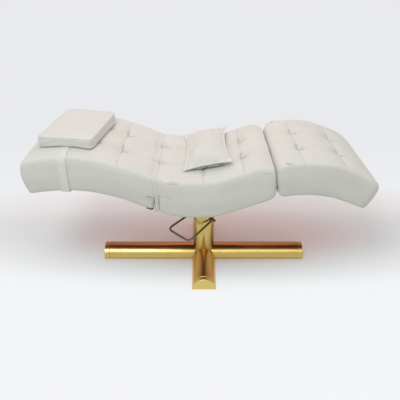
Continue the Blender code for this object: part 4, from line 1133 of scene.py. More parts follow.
def curve_through(table: Sequence[tuple[float, ...]], parts: int) -> np.ndarray:
    """Points of a smooth curve through the points of a table.

    Args:
        table: The points.
        parts: Steps between two of them.

    Returns:
        One row a point.
    """
    rows = np.array(table, dtype=float)
    padded = np.vstack([2 * rows[0] - rows[1], rows, 2 * rows[-1] - rows[-2]])
    made = []
    for a, b, c, d in zip(padded, padded[1:], padded[2:], padded[3:]):
        for t in np.arange(parts) / parts:
            made.append(0.5 * (2 * b + (c - a) * t + (2 * a - 5 * b + 4 * c - d) * t**2
                               + (3 * b - a - 3 * c + d) * t**3))
    made.append(rows[-1])
    return np.array(made)


# The bed's own line

HALF_WIDTH = 0.340
HEAD_REACH = 0.937
BED_LENGTH = 1.849
SEAT_LOW = 0.464
BED_WAVE = 0.168
BED_LINE = (
    (0.000, 0.86), (0.059, 0.95), (0.119, 0.99), (0.174, 0.95), (0.220, 0.85), (0.278, 0.66), (0.341, 0.37),
    (0.405, 0.09), (0.445, 0.01), (0.500, 0.00), (0.551, 0.06), (0.613, 0.30), (0.697, 0.64), (0.741, 0.77),
    (0.783, 0.82), (0.832, 0.80), (0.870, 0.73), (0.931, 0.50), (1.000, 0.16),
)
SEAM_Y = 0.1133


def line_slope(at: int) -> float:
    """Slope of the bed's line at a row of its table."""
    before, after = BED_LINE[max(at - 1, 0)], BED_LINE[min(at + 1, len(BED_LINE) - 1)]
    return (after[1] - before[1]) / (after[0] - before[0])


def bed_line(x: float) -> float:
    """Height of the cushions' lower edge.

    Args:
        x: Place along the bed.

    Returns:
        The height there.
    """
    share = (x + HEAD_REACH) / BED_LENGTH
    last = len(BED_LINE) - 2
    index = min(max(sum(1 for place, _ in BED_LINE if place <= share) - 1, 0), last)
    (start, low), (end, high) = BED_LINE[index], BED_LINE[index + 1]
    span = end - start
    t = (share - start) / span
    height = low * (2 * t**3 - 3 * t**2 + 1) + high * (3 * t**2 - 2 * t**3)
    height += span * (line_slope(index) * (t**3 - 2 * t**2 + t) + line_slope(index + 1) * (t**3 - t**2))
    return SEAT_LOW + BED_WAVE * height


# Upholstery

# Edge profiles from a cushion's top line to its hem, as (out, share of the depth), by kind of edge
# The top line lies INSET inside the cushion's nominal edge.
INSET = 0.028
SIDE_PROFILE = (
    (0.0000, 0.002), (0.0100, 0.009), (0.0175, 0.024), (0.0228, 0.050), (0.0264, 0.088), (0.0290, 0.140),
    (0.0312, 0.225), (0.0331, 0.380), (0.0338, 0.550), (0.0322, 0.700), (0.0285, 0.850), (0.0240, 0.950),
    (0.0140, 0.998), (-0.0150, 1.000),
)
CRISP_PROFILE = (
    (0.0000, 0.000), (0.0120, 0.005), (0.0200, 0.018), (0.0250, 0.044), (0.0280, 0.084), (0.0298, 0.140),
    (0.0315, 0.240), (0.0333, 0.400), (0.0338, 0.550), (0.0322, 0.700), (0.0285, 0.850), (0.0240, 0.950),
    (0.0140, 0.998), (-0.0150, 1.000),
)
HEAD_PROFILE = (
    (0.0000, 0.000), (0.0170, 0.012), (0.0300, 0.045), (0.0395, 0.090), (0.0455, 0.140), (0.0500, 0.195),
    (0.0535, 0.280), (0.0545, 0.380), (0.0515, 0.520), (0.0440, 0.700), (0.0345, 0.860), (0.0270, 0.955),
    (0.0150, 0.998), (-0.0150, 1.000),
)
FOOT_PROFILE = (
    (0.0000, 0.000), (0.0210, 0.008), (0.0400, 0.030), (0.0570, 0.060), (0.0715, 0.100), (0.0785, 0.145),
    (0.0795, 0.205), (0.0750, 0.320), (0.0635, 0.490), (0.0475, 0.690), (0.0310, 0.870), (0.0205, 0.960),
    (0.0090, 0.998), (-0.0100, 1.000),
)
BACK_HINGE_PROFILE = (
    (0.0000, 0.000), (0.0140, 0.002), (0.0215, 0.018), (0.0255, 0.050), (0.0275, 0.100), (0.0280, 0.150),
    (0.0280, 0.240), (0.0278, 0.380), (0.0262, 0.490), (0.0120, 0.600), (0.0030, 0.740), (0.0005, 0.920),
    (-0.0060, 0.998), (-0.0400, 1.000),
)
SEAT_HINGE_PROFILE = (
    (0.0000, 0.000), (0.0135, 0.002), (0.0212, 0.016), (0.0255, 0.046), (0.0275, 0.090), (0.0280, 0.130),
    (0.0280, 0.190), (0.0280, 0.320), (0.0262, 0.440), (0.0262, 0.620), (0.0290, 0.820), (0.0270, 0.945),
    (0.0170, 0.998), (-0.0100, 1.000),
)
SEAT_KNEE_PROFILE = (
    (0.0000, 0.000), (0.0125, 0.030), (0.0205, 0.080), (0.0255, 0.150), (0.0290, 0.240), (0.0315, 0.340),
    (0.0335, 0.450), (0.0355, 0.560), (0.0372, 0.660), (0.0380, 0.750), (0.0358, 0.840), (0.0285, 0.920),
    (0.0130, 0.982), (-0.0120, 1.000),
)
LEG_KNEE_PROFILE = (
    (0.0000, 0.000), (0.0170, 0.008), (0.0300, 0.035), (0.0385, 0.080), (0.0435, 0.140), (0.0462, 0.220),
    (0.0470, 0.310), (0.0462, 0.400), (0.0440, 0.500), (0.0390, 0.620), (0.0310, 0.760), (0.0220, 0.880),
    (0.0100, 0.980), (-0.0150, 1.000),
)
PILLOW_PROFILE = (
    (0.0000, 0.000), (0.0165, 0.000), (0.0240, 0.006), (0.0272, 0.028), (0.0286, 0.075), (0.0290, 0.150),
    (0.0293, 0.270), (0.0296, 0.420), (0.0296, 0.580), (0.0292, 0.730), (0.0286, 0.860), (0.0266, 0.950),
    (0.0190, 0.993), (-0.0150, 1.000),
)
PROFILE_PARTS = 2
CORNER_LEAST = 0.004
HEM_SHARE = 0.93
LOOSE_HOLD = 0.8
TUFT_HOLD_REACH = 0.030
SEAM_HOLD_REACH = 0.003
FOLD_REACH = 0.075
FOLD_FADE = 0.02


@dataclass(frozen=True)
class Quilting:
    """How a cushion's top is drawn down along its seams and at its tufts."""

    valley: float = 0.0058
    lengthwise_share: float = 0.85
    sharpness: float = 2.6
    end_reach: float = 1.6
    rim_shares: Span = (0.35, 0.30)
    rim_reach: Span = (0.10, 0.11)
    tuft: float = 0.0088
    tuft_radius: float = 0.0235
    tuft_reach: float = 0.09
    crease: float = 0.0034
    crease_width: float = 0.0080
    crease_route: Profile = (
        (0.001, 0.034), (-0.001, 0.010), (0.002, -0.006), (0.011, -0.013), (0.022, -0.012), (0.034, -0.006),
    )
    pucker: float = 0.0022
    pucker_rays: Span = (6.0, 10.0)
    pucker_share: float = 0.6
    pucker_start: float = 0.010
    pucker_fade: float = 0.022
    unevenness: float = 0.0008
    unevenness_waves: float = 16.0

    def crease_distance(self, dx: float, dy: float) -> float:
        """Distance from the bent crease that a tuft's fold leaves.

        Args:
            dx: Place along the bed from the tuft.
            dy: Place across it from the tuft.

        Returns:
            The distance.
        """
        nearest = 1.0
        for (x0, y0), (x1, y1) in zip(self.crease_route, self.crease_route[1:]):
            run_x, run_y = x1 - x0, y1 - y0
            share = clamp(((dx - x0) * run_x + (dy - y0) * run_y) / (run_x**2 + run_y**2))
            nearest = min(nearest, math.hypot(dx - x0 - share * run_x, dy - y0 - share * run_y))
        return nearest

    def tuft_drop(self, dx: float, dy: float, phase: float) -> float:
        """How far one tuft draws the top down at a place beside it.

        Args:
            dx: Place along the bed from the tuft.
            dy: Place across it from the tuft.
            phase: Turns the tuft's puckers, in radians.

        Returns:
            The drop.
        """
        away = math.hypot(dx, dy)
        if away > self.tuft_reach:
            return 0.0
        angle = math.atan2(dy, dx)
        rays, more_rays = self.pucker_rays
        star = math.cos(rays * angle + phase) + self.pucker_share * math.cos(more_rays * angle - phase)
        drop = self.tuft * math.exp(-((away / self.tuft_radius) ** 2) / 2.0)
        drop += self.crease * bell(self.crease_distance(dx, dy), self.crease_width)
        star *= math.exp(-away / self.pucker_fade) * min(away / self.pucker_start, 1.0)
        return drop + self.pucker * star


@dataclass(frozen=True)
class PadShape:
    """Shape of one upholstered block, in its own plan coordinates."""

    left: float
    right: float
    half_width: float
    depth: float
    corners: Span
    left_profile: Profile
    right_profile: Profile
    side_profile: Profile = SIDE_PROFILE
    seams_x: tuple[float, ...] = ()
    seams_y: tuple[float, ...] = ()
    rolls: tuple[Span, Span] = ((0.0, 0.1), (0.0, 0.1))
    squareness: Span = (2.0, 2.0)
    cheeks: Span = (0.0, 0.0)
    end_tufts: tuple[float, ...] = ()
    crown: float = 0.007
    cell: float = 0.0135


@dataclass(frozen=True)
class SideWaves:
    """How uneven a cushion's sides are, and how far its seams and swells reach down them."""

    ripple: float = 0.0022
    wrinkle: float = 0.0016
    seam_pull: float = 0.45
    seam_reach: float = 0.055
    relief_reach: float = 0.070
    cheek_start: float = 0.262
    cheek_rise: float = 0.018
    cheek_share: float = 0.84
    cheek_height_share: float = 0.12
    stitched: float = 0.016


@dataclass
class CoverMesh:
    """Points and faces of a cover, with each point's place for the sewing and how firmly it is held."""

    points: list[Point] = field(default_factory=list)
    faces: list[tuple[int, ...]] = field(default_factory=list)
    sewn: list[Point] = field(default_factory=list)
    held: list[float] = field(default_factory=list)

    def add(self, point: Point, sewn: Point, held: float) -> int:
        """Adds one point.

        Args:
            point: Its world place.
            sewn: Its place along and across the cushion, and its share of the top.
            held: How firmly it is sewn down, from 0 to 1.

        Returns:
            Its index.
        """
        self.points.append(point)
        self.sewn.append(sewn)
        self.held.append(held)
        return len(self.points) - 1


SEAM_OFFSETS = (0.0, 0.0022, 0.0055, 0.0105, 0.0180)
EDGE_OFFSETS = (0.007, 0.016)


def lattice(low: float, high: float, seams: Sequence[float], step: float) -> list[float]:
    """Places across a cushion, close together beside seams and near its edges.

    Args:
        low: First place.
        high: Last place.
        seams: Places of the seams.
        step: Widest step.

    Returns:
        The places in order.
    """
    places = {low, high}
    for seam in seams:
        places.update(seam + side * offset for offset in SEAM_OFFSETS for side in (-1, 1))
    for edge, side in ((low, 1), (high, -1)):
        places.update(edge + side * offset for offset in EDGE_OFFSETS)
    ordered = sorted(places)
    filled = [ordered[0]]
    for place in ordered[1:]:
        gap = place - filled[-1]
        parts = max(1, round(gap / step))
        start = filled[-1]
        filled += [start + gap * part / parts for part in range(1, parts + 1)]
    return filled


@dataclass
class UpholsteredPad:
    """A cushion's cover: quilted top, rolled edges, swelled sides and a hem turned under."""

    name: str
    shape: PadShape
    finish: Finish
    body: Body
    replaced: tuple[str, ...]
    fill: float = 0.9
    quilting: Quilting = Quilting()
    waves: SideWaves = SideWaves()
    stuffing: Stuffing = Stuffing()
    # Painted contact shade along a loose pad's hem: its strength, and the heights over which it fades out.
    contact_shade_dark: float = 0.9
    contact_shade_heights: Span = (0.0030, 0.0105)

    def __post_init__(self) -> None:
        """Lays out the top's grid of points."""
        shape = self.shape
        half = shape.half_width - INSET
        self.columns = lattice(shape.left + INSET, shape.right - INSET, shape.seams_x, shape.cell)
        self.rows = lattice(-half, half, shape.seams_y, shape.cell)

    def lies_on(self, x: float, y: float) -> float:
        """Height of the cushion's underside at a world place."""
        return bed_line(x)

    def top(self, x: float, y: float) -> float:
        """Height of the cushion's top at a world place."""
        return self.lies_on(x, y) + self.shape.depth

    def placed(self, x: float, y: float) -> Span:
        """World place of a plan point."""
        return x, y

    def world(self, x: float, y: float, drop: float) -> Point:
        """World place of a plan point that lies below the cushion's full height."""
        place_x, place_y = self.placed(x, y)
        return place_x, place_y, self.top(place_x, place_y) - drop

    def fullness(self, place: float, seams: Sequence[float], low: float, high: float) -> float:
        """How far a place is from the seams beside it.

        Args:
            place: The place, along or across.
            seams: Places of the seams.
            low: Place of the cushion's one edge.
            high: Place of its other edge.

        Returns:
            From 0 on a seam to 1 in the middle of a cell.
        """
        if not seams:
            return 1.0
        before = [seam for seam in seams if seam <= place]
        after = [seam for seam in seams if seam > place]
        if before and after:
            share = (place - before[-1]) / (after[0] - before[-1])
            reach = min(share, 1.0 - share) * 2.0
        else:
            seam = before[-1] if before else after[0]
            edge = high if before else low
            reach = min(abs(place - seam) / abs(edge - seam) * self.quilting.end_reach, 1.0)
        return 1.0 - (1.0 - reach) ** self.quilting.sharpness

    def valleys(self, x: float, y: float) -> Span:
        """Depth of the seams' valleys at a plan point.

        Args:
            x: Place along the cushion.
            y: Place across it.

        Returns:
            The depth of the crosswise valley and of the lengthwise one.
        """
        shape, quilting = self.shape, self.quilting
        across = self.fullness(x, shape.seams_x, shape.left, shape.right)
        along = self.fullness(y, shape.seams_y, -shape.half_width, shape.half_width)
        inner_x = min(1.0, min(x - shape.left, shape.right - x) / quilting.rim_reach[0])
        inner_y = min(1.0, (shape.half_width - abs(y)) / quilting.rim_reach[1])
        rim_x, rim_y = (share + (1.0 - share) * inner
                        for share, inner in zip(quilting.rim_shares, (inner_x, inner_y)))
        lengthwise = quilting.lengthwise_share * quilting.valley * (1.0 - along) * rim_x
        return quilting.valley * (1.0 - across) * rim_y, lengthwise

    def relief(self, x: float, y: float) -> float:
        """How far the top lies under its full height.

        Args:
            x: Place along the cushion.
            y: Place across it.

        Returns:
            The drop there.
        """
        shape, quilting = self.shape, self.quilting
        drop = sum(self.valleys(x, y))
        for seam_x in (*shape.seams_x, *shape.end_tufts):
            for seam_y in shape.seams_y:
                drop += quilting.tuft_drop(x - seam_x, y - seam_y, 40.0 * seam_x + 90.0 * seam_y)
        drop += shape.crown * (y / shape.half_width) ** 6
        waves = quilting.unevenness_waves
        return drop - quilting.unevenness * noise.noise(Vector((x * waves, y * waves, 3.0)))

    def roll(self, x: float) -> float:
        """How far the cushion's ends roll down.

        Args:
            x: Place along the cushion.

        Returns:
            The drop there.
        """
        drop = 0.0
        for (deep, reach), edge in zip(self.shape.rolls, (self.shape.left, self.shape.right)):
            near = max(0.0, 1.0 - abs(x - edge) / reach)
            drop += deep * near * near
        return drop

    def rounded(self, x: float, y: float) -> Span:
        """Moves a plan point inwards so that the top's corners get their radius.

        Args:
            x: Place along the cushion.
            y: Place across it.

        Returns:
            The moved point.
        """
        shape = self.shape
        middle = (self.columns[0] + self.columns[-1]) / 2.0
        half_x = (self.columns[-1] - self.columns[0]) / 2.0
        half_y = self.rows[-1]
        u = x - middle
        corner = max(shape.corners[0] if u < 0 else shape.corners[1], INSET + CORNER_LEAST) - INSET
        reach = max(abs(u) / half_x, abs(y) / half_y)
        if reach == 0.0:
            return x, y
        edge_u, edge_y = u / reach, y / reach
        over_u = abs(edge_u) - (half_x - corner)
        over_y = abs(edge_y) - (half_y - corner)
        if over_u <= 0 or over_y <= 0:
            return x, y
        pull = corner / math.hypot(over_u, over_y)
        if pull >= 1:
            return x, y
        share = reach**4
        return (x - math.copysign(over_u * (1 - pull) * share, u),
                y - math.copysign(over_y * (1 - pull) * share, y))

    def mesh(self) -> CoverMesh:
        """Builds the cover's top, and its sides ring by ring.

        Returns:
            Its points and faces.
        """
        made = CoverMesh()
        index: dict[tuple[int, int], int] = {}
        for i, column in enumerate(self.columns):
            for j, row in enumerate(self.rows):
                x, y = self.rounded(column, row)
                point = self.world(x, y, self.roll(column) + self.relief(column, row))
                index[i, j] = made.add(point, (column, row, 1.0), self.held(column, row))
        last_i, last_j = len(self.columns) - 1, len(self.rows) - 1
        made.faces += [
            (index[i, j], index[i + 1, j], index[i + 1, j + 1], index[i, j + 1])
            for i in range(last_i) for j in range(last_j)
        ]
        edge = [(i, 0) for i in range(last_i)] + [(last_i, j) for j in range(last_j)]
        edge += [(i, last_j) for i in range(last_i, 0, -1)] + [(0, j) for j in range(last_j, 0, -1)]
        grid = [(self.columns[i], self.rows[j]) for i, j in edge]
        self.add_sides(made, grid, [index[at] for at in edge])
        return made

    def add_sides(self, made: CoverMesh, grid: Sequence[Span], above: list[int]) -> None:
        """Adds the cushion's sides below its top.

        Args:
            made: The cover, with its top.
            grid: Grid places of the top's outline.
            above: Indices of the outline's points.
        """
        shape, waves = self.shape, self.waves
        side, left, right = (curve_through(table, PROFILE_PARTS) for table in
                             (shape.side_profile, shape.left_profile, shape.right_profile))
        outline = [self.rounded(*at) for at in grid]
        normals = self.edge_normals(outline)
        for level in range(1, len(side)):
            ring = []
            for at, place, (nx, ny) in zip(grid, outline, normals):
                end = left if nx < 0 else right
                share = nx * nx
                cheek = clamp((abs(at[1]) - waves.cheek_start) / waves.cheek_rise)
                cheek *= shape.cheeks[0 if nx < 0 else 1]
                cheek *= bell(end[level][1] - waves.cheek_share, waves.cheek_height_share)
                out = float(side[level][0] * (1 - share) + (end[level][0] + cheek) * share)
                down = float(side[level][1] * (1 - share) + end[level][1] * share)
                point = self.side_point(place, at, (nx, ny), out, down)
                sewn = (*at, max(0.0, 1.0 - down * shape.depth / waves.stitched))
                ring.append(made.add(point, sewn, 1.0 if down > HEM_SHARE or shape.seams_x else LOOSE_HOLD))
            count = len(ring)
            made.faces += [(above[k], ring[k], ring[(k + 1) % count], above[(k + 1) % count])
                           for k in range(count)]
            above = ring

    def edge_normals(self, ring: list[Span]) -> list[Span]:
        """Outward directions of the top's outline.

        Args:
            ring: The outline's plan points, in order.

        Returns:
            One direction a point.
        """
        made = []
        count = len(ring)
        for k in range(count):
            (x0, y0), (x1, y1) = ring[k - 1], ring[(k + 1) % count]
            dx, dy = x1 - x0, y1 - y0
            length = math.hypot(dx, dy) or 1.0
            made.append((dy / length, -dx / length))
        return made

    def side_point(self, at: Span, grid: Span, normal: Span, out: float, down: float) -> Point:
        """World place of a point of the cushion's side.

        Args:
            at: Plan point of the top's outline above it.
            grid: The same point before its corner was rounded.
            normal: Outward direction there.
            out: Distance outwards.
            down: Share of the depth below the top.

        Returns:
            The point.
        """
        shape, waves = self.shape, self.waves
        fall = down * shape.depth
        fade = max(0.0, 1.0 - fall / waves.seam_reach) ** 1.5
        crosswise, lengthwise = self.valleys(*grid)
        pulled = crosswise if abs(normal[1]) > abs(normal[0]) else lengthwise
        ripple = noise.noise(Vector((grid[0] * 6.0, grid[1] * 6.0, down * 4.5)))
        ripple += 0.6 * noise.noise(Vector((grid[0] * 3.0 + 7.0, grid[1] * 3.0, down * 11.0)))
        middle = math.sin(math.pi * clamp(down))
        if not shape.seams_x:
            wrinkle = math.sin(95.0 * grid[0] + 40.0 * grid[1] + 5.0 * math.sin(23.0 * grid[0]) + 9.0 * down)
            out += waves.wrinkle * wrinkle * middle
        out += waves.ripple * ripple * middle - waves.seam_pull * pulled * fade * min(down * 12.0, 1.0)
        power = shape.squareness[0 if normal[0] < 0 else 1]
        spread = (abs(normal[0]) ** power + abs(normal[1]) ** power) ** (1.0 / power)
        x, y = at[0] + normal[0] / spread * out, at[1] + normal[1] / spread * out
        where = self.placed(x, y)
        roll = self.roll(grid[0])
        full = self.top(*where) - self.lies_on(*where) - roll
        relief = self.relief(*grid) * max(0.0, 1.0 - fall / waves.relief_reach)
        return self.world(x, y, roll + down * full + relief)

    def held(self, x: float, y: float) -> float:
        """How firmly a plan point of the top is sewn down.

        Args:
            x: Place along the cushion.
            y: Place across it.

        Returns:
            From 0 where it is loose to 1 at a tuft.
        """
        shape, quilting = self.shape, self.quilting
        nearest_x = min((abs(x - seam) for seam in shape.seams_x), default=1.0)
        nearest_y = min((abs(y - seam) for seam in shape.seams_y), default=1.0)
        if math.hypot(nearest_x, nearest_y) < TUFT_HOLD_REACH:
            return 1.0
        if min(nearest_x, nearest_y) >= SEAM_HOLD_REACH:
            return 0.0
        rim = min(1.0, (shape.half_width - abs(y)) / quilting.rim_reach[1],
                  min(x - shape.left, shape.right - x) / quilting.rim_reach[0])
        return 0.25 + 0.75 * rim

    def sew(self, made: bpy.types.Object, sewn: Sequence[Point]) -> None:
        """Stores where each point lies from the nearest seams and from the nearest tuft.

        Args:
            made: The cover.
            sewn: Each point's place along and across the cushion, and its share of the top.
        """
        shape = self.shape
        seams, tufts = [], []
        for x, y, top in sewn:
            off_x = min(abs(x - seam) for seam in shape.seams_x)
            off_y = min(abs(y - seam) for seam in shape.seams_y)
            seams += [off_x, off_y, top]
            dx = min((x - seam for seam in (*shape.seams_x, *shape.end_tufts)), key=abs)
            dy = min((y - seam for seam in shape.seams_y), key=abs)
            near = clamp((FOLD_REACH - max(abs(dx), 0.7 * abs(dy))) / FOLD_FADE)
            tufts += [dx, dy, near * top]
        store(made, "seam", seams, vector=True)
        store(made, "tuft", tufts, vector=True)

    def paint_contact_shade(self, made: bpy.types.Object) -> None:
        """Paints contact shade into the cloth where a loose pad's sides turn under, close to what it lies
        on.

        Args:
            made: The cover.
        """
        low, high = self.contact_shade_heights
        above = [vertex.co.z - self.lies_on(vertex.co.x, vertex.co.y) for vertex in made.data.vertices]
        store(made, "fold_shade", [self.contact_shade_dark * clamp((high - height) / (high - low)) for height in above])

    def build(self) -> bpy.types.Object:
        """Builds the cover in the scene.

        Returns:
            The piece.
        """
        cover = self.mesh()
        made = make_piece(self.name, cover.points, cover.faces, self.finish, None)
        self.stuffing.fill(made, cover.held)
        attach(made, self.body.value)
        if self.shape.seams_x:
            self.sew(made, cover.sewn)
        else:
            self.paint_contact_shade(made)
        subdivide(made)
        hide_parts(*self.replaced)
        return made


BACK_SHAPE = PadShape(
    left=-0.9275, right=-0.2485, half_width=0.3385, depth=0.198, corners=(0.034, 0.032),
    left_profile=HEAD_PROFILE, right_profile=BACK_HINGE_PROFILE, seams_x=(-0.450,),
    seams_y=(-SEAM_Y, SEAM_Y), rolls=((0.006, 0.12), (0.007, 0.050)), squareness=(6.0, 6.0),
    end_tufts=(-0.2475,),
)
SEAT_SHAPE = PadShape(
    left=-0.2460, right=0.3715, half_width=0.3385, depth=0.219, corners=(0.032, 0.034),
    left_profile=SEAT_HINGE_PROFILE, right_profile=SEAT_KNEE_PROFILE, seams_x=(-0.005, 0.206),
    seams_y=(-SEAM_Y, SEAM_Y), rolls=((0.022, 0.085), (0.062, 0.115)), squareness=(6.0, 5.0),
    cheeks=(0.0, 0.006), end_tufts=(-0.2475,),
)
LEG_SHAPE = PadShape(
    left=0.3945, right=0.8690, half_width=0.3385, depth=0.190, corners=(0.034, 0.040),
    left_profile=LEG_KNEE_PROFILE, right_profile=FOOT_PROFILE, seams_x=(0.511, 0.738),
    seams_y=(-SEAM_Y, SEAM_Y), rolls=((0.003, 0.06), (0.002, 0.10)), squareness=(8.0, 8.0),
    cheeks=(0.010, 0.0), side_profile=CRISP_PROFILE, crown=0.003,
)
HEAD_PILLOW_SHAPE = PadShape(
    left=-0.1425, right=0.1500, half_width=0.2300, depth=0.0605, corners=(0.033, 0.033),
    left_profile=PILLOW_PROFILE, right_profile=PILLOW_PROFILE, side_profile=PILLOW_PROFILE, crown=-0.002,
    cell=0.015, squareness=(6.0, 6.0),
)


# Pillows, strap and badge


@dataclass
class HeadPillow(UpholsteredPad):
    """The flat pillow on the backrest, turned a little, its top nearly flat over the curved backrest."""

    middle: float = -0.706
    turned: float = math.radians(-7.0)
    lift: float = 0.0046
    ends: Span = (-0.860, -0.560)
    thick: float = 0.0625
    bulge: float = 0.016

    def lies_on(self, x: float, y: float) -> float:
        """Height of the pillow's underside at a world place."""
        return bed_line(x) + BACK_SHAPE.depth + self.lift

    def top(self, x: float, y: float) -> float:
        """Height of the pillow's top at a world place.

        Args:
            x: Place along the bed.
            y: Place across it.

        Returns:
            The height.
        """
        first, last = self.ends
        share = (x - first) / (last - first)
        chord = self.lies_on(first, y) * (1.0 - share) + self.lies_on(last, y) * share
        return chord + self.thick + self.bulge * share * (1.0 - share)

    def placed(self, x: float, y: float) -> Span:
        """World place of a plan point of the pillow."""
        cosine, sine = math.cos(self.turned), math.sin(self.turned)
        return self.middle + x * cosine - y * sine, x * sine + y * cosine


@dataclass(frozen=True)
class Station:
    """Middle of the strip in the crease at one place of its way, and the direction that faces out."""

    y: float
    z: float
    out_y: float
    out_z: float


@dataclass
class FoldBand:
    """Strip of the cover's cloth that closes the crease between backrest and seat."""

    back: bpy.types.Object
    seat: bpy.types.Object
    across: int = 12
    thick: float = 0.0016
    inner: float = 0.308
    corner: Span = (0.028, 0.030)
    corner_parts: int = 8
    foot: float = 0.506
    side_step: float = 0.0122
    side_parts: int = 12
    shoulder: float = 0.660
    top_step: float = 0.0154
    top_parts: int = 20
    back_faces: Profile = (
        (0.49, -0.2790), (0.53, -0.2765), (0.565, -0.2735), (0.595, -0.2660), (0.613, -0.2500),
        (0.70, -0.2485),
    )
    seat_face: float = -0.2460
    side_grip: Span = (0.006, 0.005)
    side_limit: float = -0.2650
    top_edges: Span = (-0.2700, -0.2240)
    probes: Span = (-0.2800, -0.2160)
    probe_reach: float = 0.1
    probe_limits: Span = (-0.012, 0.016)
    side_top: float = 0.622
    side_fade: float = 0.03
    sink: float = 0.0012
    dip: Span = (0.0045, 0.0015)
    side_swell: float = 0.0030
    side_sink: float = 0.004
    ripple: float = 0.0030
    tuft_depth: float = 0.009
    tuft_width: float = 0.019
    # Painted shade: the line down the crease, the tufts, and the notch's near and far sides.
    line_width: float = 0.07
    line_shades: Span = (0.09, 0.17)
    tuft_shade: float = 0.25
    side_shades: Span = (0.95, 0.50)

    def __post_init__(self) -> None:
        """Keeps the two cushions' surfaces."""
        self.back_surface, self.seat_surface = surface_of(self.back), surface_of(self.seat)

    def beside(self, surface: BVHTree, x: float, station: Station) -> float:
        """How far out of a station a cushion's surface is.

        Args:
            surface: The cushion's surface.
            x: Place along the bed.
            station: The station.

        Returns:
            The distance.
        """
        reach = self.probe_reach
        start = Vector((x, station.y + reach * station.out_y, station.z + reach * station.out_z))
        found = surface.ray_cast(start, Vector((0.0, -station.out_y, -station.out_z)))
        return clamp(reach - found[3], *self.probe_limits) if found[0] else 0.0

    def route(self) -> list[Station]:
        """The strip's way round the bed.

        Returns:
            Its stations, from the near side's foot over the top to the far side's.
        """
        wide, high = self.corner
        side = [Station(self.inner + wide, self.foot + self.side_step * k, 1.0, 0.0)
                for k in range(self.side_parts + 1)]
        turns = [(math.cos(angle), math.sin(angle)) for angle in around(90.0, self.corner_parts)[1:-1]]
        corner = [Station(self.inner + wide * out_y, self.shoulder + high * out_z, out_y, out_z)
                  for out_y, out_z in turns]
        top = [Station(self.inner - self.top_step * k, self.shoulder + high, 0.0, 1.0)
               for k in range(self.top_parts + 1)]
        half = side + corner + top
        return [Station(-at.y, at.z, -at.out_y, at.out_z) for at in half] + half[-2::-1]

    def back_face(self, z: float) -> float:
        """Where the backrest's end is.

        Args:
            z: The height.

        Returns:
            The place along the bed at that height.
        """
        for (low, first), (high, last) in zip(self.back_faces, self.back_faces[1:]):
            if z <= high:
                return first + (last - first) * max(z - low, 0.0) / (high - low)
        return self.back_faces[-1][1]

    def row(self, station: Station) -> tuple[list[Point], list[float]]:
        """The strip's points across the crease at one station.

        Args:
            station: The station.

        Returns:
            The points, and the painted shade of the cloth at each.
        """
        low = clamp((self.side_top - station.z) / self.side_fade) * abs(station.out_y)
        top = 1.0 - low
        left = max(self.back_face(station.z) - self.side_grip[0], self.side_limit) * low
        left += self.top_edges[0] * top
        right = (self.seat_face + self.side_grip[1]) * low + self.top_edges[1] * top
        first = self.beside(self.back_surface, self.probes[0], station)
        last = self.beside(self.seat_surface, self.probes[1], station)
        tuft = station.out_z * math.exp(-(((abs(station.y) - SEAM_Y) / self.tuft_width) ** 2) / 2.0)
        points, folds = [], []
        for k in range(self.across + 1):
            share = k / self.across
            sag = math.sin(math.pi * share)
            out = (first + (last - first) * share - self.sink) * top
            out -= (self.dip[0] + self.dip[1] * station.out_z) * sag**2 * top
            out += low * (self.side_swell * sag - self.side_sink)
            out += low * self.ripple * math.sin(3.0 * math.pi * share + 9.0 * station.z) * sag
            out -= self.tuft_depth * tuft * sag**2
            points.append((left + (right - left) * share, station.y + station.out_y * out,
                           station.z + station.out_z * out))
            line = bell(share - 0.5, self.line_width) * top
            shade = (self.line_shades[0] + self.line_shades[1] * station.out_z) * line
            shade += self.tuft_shade * tuft * sag**2
            side_shade = self.side_shades[0] if share < 0.5 else self.side_shades[1]
            folds.append(shade + low * side_shade * abs(2.0 * share - 1.0) ** 2)
        return points, folds

    def build(self) -> bpy.types.Object:
        """Builds the strip.

        Returns:
            The piece.
        """
        made_rows = [self.row(station) for station in self.route()]
        points = [point for row, _ in made_rows for point in row]
        faces = quads(len(made_rows), self.across + 1, ring=False)
        made = make_piece("crease_band", points, faces, PEARL, None)
        rows = [[Vector(point) for point in row] for row, _ in made_rows]
        middle = self.across // 2
        wide = max(sum((b - a).length for a, b in zip(row, row[1:])) for row in rows)
        long = sum((b[middle] - a[middle]).length for a, b in zip(rows, rows[1:]))
        store(made, "fold_shade", [fold_shade for _, folds in made_rows for fold_shade in folds])
        solid = made.modifiers.new("Thick", "SOLIDIFY")
        solid.thickness = self.thick
        solid.offset = 0.0
        subdivide(made)
        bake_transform(made)
        return made


@dataclass
class CornerShadeStrip:
    """Dark strip under the backrest's lower corners, beside the crease, that stands in for the shade there.
    """

    back: bpy.types.Object
    ends: Span = (-0.3080, -0.2740)
    middle: float = -0.291
    half_long: float = 0.017
    half_width: float = 0.3300
    bend: float = 0.004
    sink: float = 0.0008
    radius: float = 0.0050
    parts: int = 8
    below: float = 0.30

    def build(self) -> list[bpy.types.Object]:
        """Builds the dark strip at both corners.

        Returns:
            The pieces.
        """
        surface = surface_of(self.back)
        made = []
        # Painted shade: a black rod laid where the corners' shade falls.
        for name, side in (("corner_shade_near", -1), ("corner_shade_far", 1)):
            route = []
            for x in np.linspace(*self.ends, self.parts + 1):
                y = side * (self.half_width - self.bend * ((x - self.middle) / self.half_long) ** 2)
                found = surface.ray_cast(Vector((x, y, self.below)), Vector((0.0, 0.0, 1.0)))
                route.append(Vector((x, y, found[0].z - self.sink)))
            made.append(sweep(name, route, self.radius, BLACK_RUBBER, Body.BACKREST))
        return made


